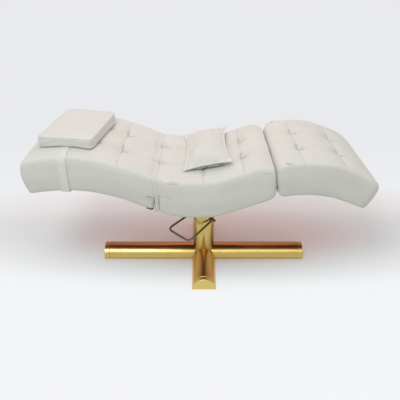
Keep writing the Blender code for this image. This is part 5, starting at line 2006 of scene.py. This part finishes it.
@dataclass(frozen=True)
class LumbarPillow:
    """The loose pillow: two puffed panels on one sewn edge, with drawn-in sides and pinched corners."""

    long: float = 0.264
    wide: float = 0.520
    thick: float = 0.094
    edge_thick: float = 0.002
    pinch: float = 0.024
    pinch_power: float = 0.9
    powers: Span = (2.3, 2.6)
    blunt: float = 0.62
    blunt_below: float = 0.36
    gather: float = 0.0042
    gather_reach: float = 0.10
    unevenness: float = 0.0035
    middle: Span = (0.0135, 0.037)
    sink: float = 0.0072
    tilt: float = math.radians(-11.5)
    turned: float = math.radians(1.2)
    parts: tuple[int, int] = (44, 68)
    resting: Span = (0.6, 0.7)
    edge_shade: float = 0.6
    fill: float = 0.7
    stuffing: Stuffing = Stuffing(pressure=5.0, looseness=0.035, cap=0.009)
    piping: float = 0.0042
    zip_radius: float = 0.0017
    zip_half: float = 0.62
    zip_edge: float = -0.985
    zip_parts: int = 24

    def turn(self) -> Matrix:
        """Where the pillow lies: on the seat's crown, tilted with it.

        Returns:
            Its place and turn.
        """
        x, y = self.middle
        place = Matrix.Translation((x, y, bed_line(x) + SEAT_SHAPE.depth + self.thick / 2.0 - self.sink))
        return place @ Matrix.Rotation(self.turned, 4, "Z") @ Matrix.Rotation(self.tilt, 4, "Y")

    def dome(self, u: float, v: float, side: int) -> Point:
        """A point of one panel, in the pillow's own frame.

        Args:
            u: Place along its short side, from -1 to 1.
            v: Place along its long side, from -1 to 1.
            side: 1 for the upper panel, -1 for the lower one.

        Returns:
            The point.
        """
        x = u * (self.long / 2.0 - self.pinch * (1.0 - v * v) ** self.pinch_power)
        y = v * (self.wide / 2.0 - self.pinch * (1.0 - u * u) ** self.pinch_power)
        blunt = self.blunt if side > 0 else self.blunt_below
        full = max(1.0 - abs(u) ** self.powers[0], 0.0) ** self.blunt
        full *= max(1.0 - abs(v) ** self.powers[1], 0.0) ** blunt
        off_u, off_v = (1.0 - abs(u)) / self.gather_reach, (1.0 - abs(v)) / self.gather_reach
        folds = math.exp(-off_u) * off_u * math.sin(31.0 * v + 2.0 * math.sin(7.0 * v))
        folds += math.exp(-off_v) * off_v * math.sin(21.0 * u + 1.5 * math.sin(5.0 * u + 1.0))
        soft = self.unevenness * noise.noise(Vector((u * 2.2 + 4.0, v * 3.1, side * 2.0)))
        swell = (self.thick / 2.0 - self.edge_thick) * full
        return x, y, side * (swell + (self.gather * folds + soft) * min(full * 2.5, 1.0))

    def spread(self, parts: int) -> list[float]:
        """Places from -1 to 1 that lie closer towards the ends."""
        return [math.sin(math.pi / 2.0 * (2.0 * k / parts - 1.0)) for k in range(parts + 1)]

    def cover(self) -> bpy.types.Object:
        """Builds the cover.

        Returns:
            The piece.
        """
        turn = self.turn()
        long_parts, wide_parts = self.parts
        points, folds, held = [], [], []
        index: dict[tuple[int, int, int], int] = {}
        for side in (1, -1):
            for i, u in enumerate(self.spread(long_parts)):
                for j, v in enumerate(self.spread(wide_parts)):
                    rim = i in (0, long_parts) or j in (0, wide_parts)
                    if side == -1 and rim:
                        index[side, i, j] = index[1, i, j]
                        continue
                    index[side, i, j] = len(points)
                    rests = side == -1 and abs(u) < self.resting[0] and abs(v) < self.resting[1]
                    points.append(tuple(turn @ Vector(self.dome(u, v, side))))
                    folds.append(self.edge_shade if rim else 0.0)
                    held.append(1.0 if rim or rests else 0.0)
        faces = [
            tuple(index[side, i + a, j + b] for a, b in ((0, 0), (1, 0), (1, 1), (0, 1)))
            for side in (1, -1) for i in range(long_parts) for j in range(wide_parts)
        ]
        made = outward(make_piece("lumbar_pillow_cover", points, faces, PEARL_PILLOW, None))
        self.stuffing.fill(made, held)
        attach(made, Body.LOOSE_PILLOW.value)
        store(made, "fold_shade", folds)
        subdivide(made)
        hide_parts("lumbar_pillow")
        return made

    def build(self) -> list[bpy.types.Object]:
        """Builds the cover, its piping and its zip.

        Returns:
            The pieces.
        """
        turn = self.turn()
        spread_u, spread_v = (self.spread(parts) for parts in self.parts)
        made = [self.cover()]
        rim = [(u, -1.0) for u in spread_u[:-1]] + [(1.0, v) for v in spread_v[:-1]]
        rim += [(u, 1.0) for u in spread_u[:0:-1]] + [(-1.0, v) for v in spread_v[:0:-1]]
        route = [turn @ Vector(self.dome(u, v, 1)) for u, v in rim]
        made.append(sweep("lumbar_pillow_piping", route, self.piping, PEARL_PIPING, Body.LOOSE_PILLOW,
                          closed=True))
        slit = [self.dome(u, self.zip_edge, -1)
                for u in np.linspace(-self.zip_half, self.zip_half, self.zip_parts + 1)]
        teeth = [turn @ (Vector(place) + Vector((0.0, 0.0005, -0.0012))) for place in slit]
        made.append(sweep("lumbar_pillow_zip", teeth, self.zip_radius, ZIP_TAPE, Body.LOOSE_PILLOW))
        return made


@dataclass
class HeadStrap:
    """Flat strap round the backrest under the head pillow."""

    cushion: bpy.types.Object
    middle: float = -0.746
    slip: float = 0.022
    half: float = 0.023
    thick: float = 0.0016
    edge_thick: float = 0.0003
    edge: float = 0.0012
    raised: tuple[float, ...] = (0.0, 0.0, 0.0006, 0.0022, 0.0024)
    clear: float = 0.0006
    core: float = 0.130
    corner: float = 0.068
    parts: int = 8
    side_low: float = 0.016
    side_step: float = 0.0190
    side_count: int = 6
    foot: float = 0.008
    reach: float = 0.5

    def __post_init__(self) -> None:
        """Keeps the surface of the cushion that the strap is drawn round."""
        self.surface = surface_of(self.cushion)

    def touch(self, x: float, middle: Span, angle: float, grow: float) -> Span:
        """Where the strap lies on the cushion, seen from a middle point.

        Args:
            x: Place along the bed.
            middle: The point inside the cushion, as (y, z).
            angle: Direction outwards from it, from the far side upwards.
            grow: How far outside the cushion.

        Returns:
            The place, as (y, z).
        """
        out = Vector((0.0, math.cos(angle), math.sin(angle)))
        found = self.surface.ray_cast(Vector((x, *middle)) + self.reach * out, -out)
        place = found[0] + (self.clear + grow) * out
        return place.y, place.z

    def outline(self, x: float, grow: float) -> list[Span]:
        """Section of the strap's run round the backrest.

        Args:
            x: Place along the bed.
            grow: How far outside the cushion.

        Returns:
            (y, z) points, counter-clockwise.
        """
        place = x + self.slip
        bottom = bed_line(place)
        low, core, half = bottom - self.thick - grow, bottom + self.core, HALF_WIDTH - self.corner
        across = [self.touch(place, (half * (1.0 - k / (self.parts / 2)), core), math.radians(90.0), grow)
                  for k in range(self.parts + 1)]
        flat = max(across[0][1], across[-1][1])
        made = [self.touch(place, (half, core), angle, grow) for angle in around(90.0, self.parts)]
        made += [(y, max(z, flat)) for y, z in across[1:-1]]
        made += [self.touch(place, (-half, core), angle, grow) for angle in around(90.0, self.parts, 90.0)]
        heights = [bottom + self.side_low + self.side_step * k for k in range(self.side_count)]
        near = [self.touch(place, (0.0, z), math.pi, grow) for z in reversed(heights)]
        far = [self.touch(place, (0.0, z), 0.0, grow) for z in heights]
        made += near
        foot = self.foot + grow
        for (edge, _), first, side in ((near[-1], 180.0, 1.0), (far[0], 270.0, -1.0)):
            made += [(edge + side * foot + foot * math.cos(angle), low + foot + foot * math.sin(angle))
                     for angle in around(90.0, self.parts, first)]
        return made + far

    def build(self) -> bpy.types.Object:
        """Builds the strap.

        Returns:
            The piece.
        """
        left, right = self.middle - self.half, self.middle + self.half
        places = (left, left + self.edge, (left + right) / 2.0, right - self.edge, right)
        thick = (self.edge_thick, self.thick, self.thick, self.thick, self.edge_thick)
        points: list[Point] = []
        for layer in (0, 1):
            for x, depth, away in zip(places, thick, self.raised):
                points += [(x + self.slip, y, z) for y, z in self.outline(x, away + layer * depth)]
        width = len(places)
        count = len(points) // (2 * width)
        under = quads(width, count)
        faces = under + [tuple(at + width * count for at in face) for face in under]
        for start in (0, (width - 1) * count):
            faces += [tuple(start + (at if at < count else at - count + width * count) for at in face)
                      for face in quads(2, count)]
        made = outward(make_piece("head_strap_band", points, faces, STRAP_CLOTH, Body.BACKREST))
        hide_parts("head_strap")
        return made


@dataclass
class Badge:
    """Blank plate with a bevelled rim on the seat's side, and the small domed stud beside it, painted white
    for the glint seen there.
    """

    cushion: bpy.types.Object
    size: Span = (0.045, 0.0068)
    corner: float = 0.0025
    corner_parts: int = 5
    raised: float = 0.0014
    step: float = 0.0030
    clear: float = 0.0006
    rings: Profile = (
        (0.0, 0.00075), (0.0, -0.00045), (0.0003, -0.00075), (0.0012, -0.00075), (0.0016, -0.00050),
    )
    stud_place: Span = (-0.2035, 0.6860)
    stud_radius: float = 0.0072
    stud_core: float = 0.0003
    stud_rim: float = 0.0008
    stud_dome: float = 0.0032
    stud_arc: float = 1.45
    stud_sink: float = 0.0004
    stud_lean: float = math.radians(60.0)
    stud_steps: int = 24
    outside: float = -0.6

    def __post_init__(self) -> None:
        """Keeps the surface of the cushion that the plate sits on."""
        self.surface = surface_of(self.cushion)

    def side(self, x: float, z: float) -> float:
        """How far out the cushion's near side is at a place."""
        return self.surface.ray_cast(Vector((x, self.outside, z)), Vector((0.0, 1.0, 0.0)))[0].y

    def stud(self) -> bpy.types.Object:
        """Builds the stud, whose white colour is a painted glint.

        Returns:
            The piece.
        """
        x, z = self.stud_place
        place = Matrix.Translation((x, self.side(x, z) + self.stud_sink, z))
        place @= Matrix.Rotation(self.stud_lean, 4, "X")
        dome = [(self.stud_radius * math.cos(angle), self.stud_rim + self.stud_dome * math.sin(angle))
                for angle in np.linspace(0.0, self.stud_arc, 7)]
        profile = [(self.stud_core, 0.0), (self.stud_radius, 0.0), *dome,
                   (self.stud_core, self.stud_rim + self.stud_dome)]
        return turned_piece("badge_stud", profile, STUD_GLINT_WHITE, Body.SEAT, self.stud_steps, place)

    def outline(self) -> list[Span]:
        """The plate's outline with rounded corners.

        Returns:
            Its (x, z) points.
        """
        half_x, half_z = (size / 2.0 - self.corner for size in self.size)
        made = []
        for sign_x, sign_z, first in ((1, 1, 0.0), (-1, 1, 90.0), (-1, -1, 180.0), (1, -1, 270.0)):
            for angle in around(90.0, self.corner_parts, first):
                made.append((sign_x * half_x + self.corner * math.cos(angle),
                             sign_z * half_z + self.corner * math.sin(angle)))
        return made

    def place(self) -> Matrix:
        """Where the plate lies on the cushion, leaned with its side.

        Returns:
            Its place and turn.
        """
        low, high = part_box("badge_plate")
        middle = (low + high) / 2.0 + Vector((0.0, 0.0, self.raised))
        above, below = (self.side(middle.x, middle.z + step) for step in (self.step, -self.step))
        middle.y = min(self.side(middle.x, middle.z), (above + below) / 2.0) - self.clear
        lean = math.atan2(above - below, 2.0 * self.step)
        return Matrix.Translation(middle) @ Matrix.Rotation(-lean, 4, "X")

    def build(self) -> list[bpy.types.Object]:
        """Builds the plate and its stud.

        Returns:
            The pieces.
        """
        place, outline = self.place(), self.outline()
        half_x, half_z = (size / 2.0 for size in self.size)
        points = []
        for inset, depth in self.rings:
            for x, z in outline:
                shrink_x, shrink_z = (half_x - inset) / half_x, (half_z - inset) / half_z
                points.append(place @ Vector((x * shrink_x, depth, z * shrink_z)))
        count = len(outline)
        faces = [tuple(range(count)), *quads(len(self.rings), count)]
        faces.append(tuple(range(len(points) - count, len(points))))
        plate = outward(make_piece("badge_blank", points, faces, PLATE_GOLD, Body.SEAT, smooth=False))
        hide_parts("badge_plate")
        return [plate, self.stud()]


# Base, column and lever

BEAM_RADIUS = 0.0705
FLOOR_CLEAR = 0.003
COLUMN_RADIUS = 0.0645
COLUMN_TOP = 0.315


@dataclass(frozen=True)
class Arm:
    """One straight run of half-round tube."""

    name: str
    start: float
    end: float
    axis: Axis
    finish: Finish
    replaced: str


@dataclass(frozen=True)
class CrossBase:
    """The cross of half-round tubes with its end caps and welds."""

    steps: int = 48
    cap_length: float = 0.030
    long_reach: float = 0.629
    short_reach: float = 0.370
    gap: float = 0.0003
    rim: float = 0.0016
    weld_radius: float = 0.0011
    weld_parts: int = 32
    ring_parts: int = 96

    def section(self, radius: float) -> list[Span]:
        """Half-round outline of a tube."""
        angles = [math.pi * k / self.steps for k in range(self.steps + 1)]
        return [(radius * math.cos(angle), FLOOR_CLEAR + radius * math.sin(angle)) for angle in angles]

    def tube(self, arm: Arm) -> bpy.types.Object:
        """Builds one run of tube as a closed skin.

        Args:
            arm: The run.

        Returns:
            The piece.
        """
        stations = ((arm.start, self.rim), (arm.start + self.rim, 0.0), (arm.end - self.rim, 0.0),
                    (arm.end, self.rim))
        points: list[Point] = []
        for place, inset in stations:
            for across, up in self.section(BEAM_RADIUS - inset):
                points.append((place, across, up) if arm.axis is Axis.X else (-across, place, up))
        count = self.steps + 1
        faces = quads(len(stations), count)
        faces.append(tuple(range(count)))
        faces.append(tuple(range(len(points) - count, len(points))))
        made = outward(make_piece(arm.name, points, faces, arm.finish, Body.BASE))
        made.data.set_sharp_from_angle(angle=SHARP_TUBE)
        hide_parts(arm.replaced)
        return made

    def arms(self) -> tuple[Arm, ...]:
        """Lays out the arms and their caps.

        Returns:
            The runs of tube.
        """
        long, short = self.long_reach, self.short_reach
        long_end, short_end = (reach - self.cap_length - self.gap for reach in (long, short))
        return (
            Arm("long_arm", -long_end, long_end, Axis.X, GOLD_X, "long_beam"),
            Arm("front_arm", -short_end, 0.0, Axis.Y, GOLD_Y, "front_beam"),
            Arm("rear_arm", 0.0, short_end, Axis.Y, GOLD_Y, "rear_beam"),
            Arm("cap_left", -long, -long_end - self.gap, Axis.X, CAP_GOLD_X, "end_cap_left"),
            Arm("cap_right", long_end + self.gap, long, Axis.X, CAP_GOLD_X, "end_cap_right"),
            Arm("cap_front", -short, -short_end - self.gap, Axis.Y, CAP_GOLD_Y, "end_cap_front"),
            Arm("cap_rear", short_end + self.gap, short, Axis.Y, CAP_GOLD_Y, "end_cap_rear"),
        )

    def welds(self) -> list[bpy.types.Object]:
        """Builds the ground-flat weld beads between the arms and round the column.

        Returns:
            The pieces.
        """
        made = []
        for side in (-1, 1):
            route = []
            for step in range(self.weld_parts + 1):
                across = -BEAM_RADIUS + 2 * BEAM_RADIUS * step / self.weld_parts
                height = FLOOR_CLEAR + math.sqrt(max(BEAM_RADIUS**2 - across**2, 0.0))
                route.append(Vector((across, side * abs(across), height)))
            made.append(sweep(f"arm_weld_{side + 1}", route, self.weld_radius, GOLD_Z, Body.BASE))
        ring = []
        for step in range(self.ring_parts):
            angle = 2.0 * math.pi * step / self.ring_parts
            x, y = COLUMN_RADIUS * math.cos(angle), COLUMN_RADIUS * math.sin(angle)
            ring.append(Vector((x, y, FLOOR_CLEAR + math.sqrt(BEAM_RADIUS**2 - min(abs(x), abs(y)) ** 2))))
        return [*made, sweep("column_weld", ring, self.weld_radius, GOLD_Z, Body.BASE, closed=True)]

    def build(self) -> list[bpy.types.Object]:
        """Builds the cross."""
        return [*(self.tube(arm) for arm in self.arms()), *self.welds()]


@dataclass(frozen=True)
class Column:
    """The column tube with a slightly rounded top edge."""

    steps: int = 96
    wall: float = 0.003
    foot: float = 0.030
    edge: float = 0.0012
    round: float = 0.0004

    def build(self) -> bpy.types.Object:
        """Builds the column's skin.

        Returns:
            The piece.
        """
        bore = COLUMN_RADIUS - self.wall
        profile = ((bore, self.foot), (COLUMN_RADIUS, self.foot), (COLUMN_RADIUS, COLUMN_TOP - self.edge),
                   (COLUMN_RADIUS - self.round, COLUMN_TOP - self.round),
                   (COLUMN_RADIUS - self.edge, COLUMN_TOP), (bore, COLUMN_TOP))
        made = turned_piece("column_skin", profile, GOLD_Z, Body.BASE, self.steps)
        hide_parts("column_tube")
        return made


@dataclass(frozen=True)
class FootLever:
    """The U-shaped foot lever on its two bosses."""

    axis_height: float = 0.286
    spread: float = 0.156
    open: float = 0.186
    reach: float = 0.211
    fall: float = 0.054
    bend: float = 0.030
    rod: float = 0.0066
    turned: float = math.radians(-46.4)
    side_parts: int = 12
    bend_parts: int = 8
    front_parts: int = 4
    rod_sides: int = 16
    bore: float = 0.0053
    boss_radius: float = 0.010
    boss_face: float = 0.0092
    boss_edge: float = 0.0008
    boss_clear: float = 0.0003
    boss_steps: int = 32

    def place(self) -> Matrix:
        """Where the lever's own frame is."""
        return Matrix.Translation((0.0, 0.0, self.axis_height)) @ Matrix.Rotation(self.turned, 4, "Z")

    def route(self) -> list[Vector]:
        """The rod's centre line.

        Returns:
            Its points, in the lever's own frame.
        """
        half, outer, bend, parts = self.spread / 2.0, self.open / 2.0, self.bend, self.side_parts
        straight = self.reach - bend
        side = [(half + (outer - half) * t / parts, -straight * t / parts) for t in range(parts + 1)]
        side += [(outer - bend + bend * math.cos(angle), -(straight + bend * math.sin(angle)))
                 for angle in around(90.0, self.bend_parts)[1:]]
        side += [(x, -self.reach) for x in np.linspace(outer - bend, 0.0, self.front_parts + 1)[1:]]
        route = [(x, y, self.fall * y / self.reach) for x, y in side]
        return [Vector(at) for at in route] + [Vector((-x, y, z)) for x, y, z in reversed(route[:-1])]

    def build(self) -> list[bpy.types.Object]:
        """Builds the rod and its bosses.

        Returns:
            The pieces.
        """
        place = self.place()
        route = [place @ at for at in self.route()]
        rod = sweep("lever_rod", route, self.rod, BRONZE, Body.LEVER, self.rod_sides)
        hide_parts("lever_loop")
        made = [rod]
        low = COLUMN_RADIUS + self.boss_clear
        high = self.spread / 2.0 + self.rod + self.boss_clear
        profile = ((self.bore, low), (self.boss_face, low), (self.boss_radius, low + self.boss_edge),
                   (self.boss_radius, high - self.boss_edge), (self.boss_face, high), (self.bore, high))
        for sign, name in ((-1, "left"), (1, "right")):
            spin = place @ Matrix.Rotation(sign * math.pi / 2.0, 4, "Y")
            made.append(turned_piece(f"lever_boss_{name}", profile, BRONZE, Body.LEVER, self.boss_steps,
                                     spin))
        return made


# Studio


def pool(graph: ShaderGraph, middle: Span, shrink: Span) -> Socket:
    """How far a place on the floor is from the middle of an oval."""
    return ((graph.x - middle[0]) * shrink[0]) ** 2 + ((graph.y - middle[1]) * shrink[1]) ** 2


@dataclass(frozen=True)
class Floor:
    """The pale floor: lit and shaded under the bed, where its colour paints the shadow's tone, and even in
    the camera's eye away from it.
    """

    half: float = 40.0
    shift: float = 30.0
    near: Colour = (0.905, 0.920, 0.945)
    distant: Colour = (0.815, 0.822, 0.845)
    # Painted shadow colours for the floor round the bed: shade under it, a greener tint in front, a lighter
    # one behind and a darker pink pool in the middle.
    shade: Colour = (0.78, 0.79, 0.81)
    front_shade: Colour = (0.80, 0.80, 0.77)
    rear_shade: Colour = (0.89, 0.86, 0.87)
    warm_shade: Colour = (0.88, 0.735, 0.72)
    unseen: Colour = (0.63, 0.63, 0.60)
    glow_reach: Span = (-1.2, 2.4)
    front_reach: Span = (-0.16, 0.02)
    rear_reach: Span = (0.34, 0.60)
    warm_reach: Span = (0.02, 0.42)
    away_reach: Span = (0.10, 1.05)

    def shader(self) -> bpy.types.Material:
        """Builds the floor's material.

        Returns:
            The material.
        """
        graph = ShaderGraph("studio_floor")
        rays = graph.node("ShaderNodeLightPath")
        seen = graph.math("MAXIMUM", rays.part("Is Camera Ray"), rays.part("Is Glossy Ray"))
        pale = graph.mix(graph.y.between(*self.glow_reach), self.near, self.distant)
        away = pool(graph, (0.12, 0.36), (0.42, 1.35))
        # Painted shadow: the floor's colour darkens to a pink pool under the bed, tints greener in front of
        # the beams and lightens behind.
        painted_shadow_pool = pool(graph, (0.10, 0.20), (0.55, 1.5))
        cool = graph.mix(graph.y.within(*self.front_reach), self.shade, self.front_shade)
        far = graph.mix(graph.y.between(*self.rear_reach), cool, self.rear_shade)
        shaded = graph.mix(painted_shadow_pool.between(*self.warm_reach), self.warm_shade, far)
        lit = graph.mix(seen, self.unseen, shaded)
        graph.dress(base_color=lit, roughness=0.9, specular_ior_level=0.0)
        glow = graph.node("ShaderNodeEmission", {"Color": pale, "Strength": 1.0})
        blend = graph.node("ShaderNodeMixShader", {
            0: seen * away.between(*self.away_reach),
            1: Socket(graph, graph.shader.outputs[0]),
            2: glow,
        })
        graph.feed(graph.tree.nodes["Material Output"].inputs["Surface"], blend)
        return graph.material

    def build(self) -> bpy.types.Object:
        """Builds the floor.

        Returns:
            The floor.
        """
        mesh = bpy.data.meshes.new("studio_floor")
        corners = [(x * self.half, y * self.half + self.shift, 0.0)
                   for x, y in ((-1, -1), (1, -1), (1, 1), (-1, 1))]
        mesh.from_pydata(corners, [], [(0, 1, 2, 3)])
        made = bpy.data.objects.new("studio_floor", mesh)
        bpy.context.scene.collection.objects.link(made)
        mesh.materials.append(self.shader())
        return made


@dataclass(frozen=True)
class Lamp:
    """A soft area lamp; one with a height is a strip that only shines in gloss."""

    name: str
    place: Point
    target: Point
    size: float
    power: float
    colour: Colour
    height: float = 0.0

    def build(self) -> None:
        """Adds the lamp to the scene."""
        data = bpy.data.lights.new(self.name, "AREA")
        data.shape = "RECTANGLE" if self.height else "DISK"
        data.size = self.size
        data.size_y = self.height or self.size
        data.energy = self.power
        data.color = self.colour
        made = bpy.data.objects.new(self.name, data)
        made.location = self.place
        made.visible_diffuse = not self.height
        heading = Vector(self.target) - Vector(self.place)
        made.rotation_euler = heading.to_track_quat("-Z", "Y").to_euler()
        bpy.context.scene.collection.objects.link(made)


LAMPS = (
    Lamp("front", (-1.1, -2.5, 4.0), (0.0, 0.0, 0.5), 1.5, 49.0, (0.94, 1.0, 0.965)),
    Lamp("top", (-0.2, 0.2, 4.6), (0.0, 0.0, 0.5), 3.0, 8.0, (1.0, 0.90, 0.88)),
    Lamp("rear", (0.3, 2.6, 3.8), (0.0, 0.0, 0.5), 3.0, 17.0, (1.0, 0.74, 0.72)),
    Lamp("blush", (-0.15, 1.7, 2.3), (-0.10, 0.0, 0.6), 0.9, 8.0, (1.0, 0.42, 0.44)),
    Lamp("strip", (0.3, -2.75, 3.65), (0.0, 0.0, 0.0), 3.8, 24.0, (1.0, 0.98, 0.93), 0.6),
)


@dataclass(frozen=True)
class Studio:
    """Floor, lamps, world and camera."""

    floor: Floor = Floor()
    lamps: tuple[Lamp, ...] = LAMPS
    world_colour: Colour = (0.965, 1.0, 0.975)
    world_strength: float = 0.64
    lens: float = 42.37
    sensor: float = 36.0
    eye: Point = (-0.0232, -2.508, 1.787)
    eye_tilt: float = math.radians(60.91)

    def world(self) -> None:
        """Sets the even light from all round."""
        world = bpy.data.worlds.new("studio")
        bpy.context.scene.world = world
        world.use_nodes = True
        ground = world.node_tree.nodes["Background"]
        ground.inputs["Color"].default_value = rgba(self.world_colour)
        ground.inputs["Strength"].default_value = self.world_strength

    def camera(self) -> None:
        """Puts the camera where the photograph was taken from."""
        data = bpy.data.cameras.new("camera")
        data.lens = self.lens
        data.sensor_width = self.sensor
        made = bpy.data.objects.new("camera", data)
        made.location = self.eye
        made.rotation_euler = (self.eye_tilt, 0.0, 0.0)
        bpy.context.scene.collection.objects.link(made)
        bpy.context.scene.camera = made

    def build(self) -> bpy.types.Object:
        """Sets up the whole studio.

        Returns:
            The floor.
        """
        bpy.context.scene.view_settings.view_transform = "Standard"
        made = self.floor.build()
        self.world()
        for lamp in self.lamps:
            lamp.build()
        self.camera()
        return made


# The bed

NODE_FINISHES: dict[Finish, tuple[str, ...]] = {
    BIRCH: ("back_board", "seat_board", "leg_board"),
    LINING: ("back_dust_cover", "seat_dust_cover", "leg_dust_cover"),
    BLACK_STEEL: ("back_frame", "seat_frame", "leg_frame", "mounting_plate", "swivel_hub", "pump_cylinder"),
    BLACK_PLASTIC: ("column_cap",),
    BUSH_BRONZE: ("ram_bush", "pump_gland"),
    BLACK_RUBBER: ("ram_wiper", "lift_piston", "glide_centre", "glide_front", "glide_rear", "glide_left",
                   "glide_right"),
    HARD_CHROME: ("lift_ram",),
    ZINC: ("thrust_bearing", "pump_bolt_1", "pump_bolt_2", "pump_bolt_3", "pump_bolt_4", "plate_bolt_1",
           "plate_bolt_2", "plate_bolt_3", "plate_bolt_4", "back_hinge_pin_near", "back_hinge_pin_far",
           "leg_hinge_pin_near", "leg_hinge_pin_far"),
    BRONZE: ("lever_bolt_left", "lever_bolt_right"),
}


def dress_nodes(nodes: dict[str, bpy.types.Object]) -> None:
    """Gives the CAD nodes that stay their finishes.

    Args:
        nodes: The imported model's nodes by name.
    """
    for finish, names in NODE_FINISHES.items():
        for name in names:
            mesh = nodes[name].data
            mesh.materials.clear()
            mesh.materials.append(finish.material())


def report(*pieces: bpy.types.Object) -> None:
    """Names finished pieces in the log, with how many faces each has."""
    for piece in pieces:
        LOG.info("%s: %d faces", piece.name, len(piece.data.polygons))


def main() -> None:
    """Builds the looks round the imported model."""
    logging.basicConfig(level=logging.INFO, format="%(message)s")
    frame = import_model()
    dress_nodes(frame["nodes"])
    pads = (
        UpholsteredPad("back_cushion", BACK_SHAPE, PEARL_QUILT, Body.BACKREST, ("back_cover", "back_foam")),
        UpholsteredPad("seat_cushion", SEAT_SHAPE, PEARL_QUILT, Body.SEAT, ("seat_cover", "seat_foam")),
        UpholsteredPad("leg_cushion", LEG_SHAPE, PEARL_QUILT, Body.LEG_REST, ("leg_cover", "leg_foam")),
        HeadPillow("head_pillow", HEAD_PILLOW_SHAPE, PEARL_PILLOW, Body.BACKREST,
                   ("head_pillow_cover", "head_pillow_foam")),
    )
    cushions = [pad.build() for pad in pads]
    report(*cushions)
    back, seat = cushions[:2]
    report(FoldBand(back, seat).build())
    report(*CornerShadeStrip(back).build())
    report(*LumbarPillow().build())
    report(HeadStrap(back).build())
    report(*Badge(seat).build())
    report(*CrossBase().build())
    report(Column().build())
    report(*FootLever().build())
    report(Studio().build())


if __name__ == "__main__":
    main()
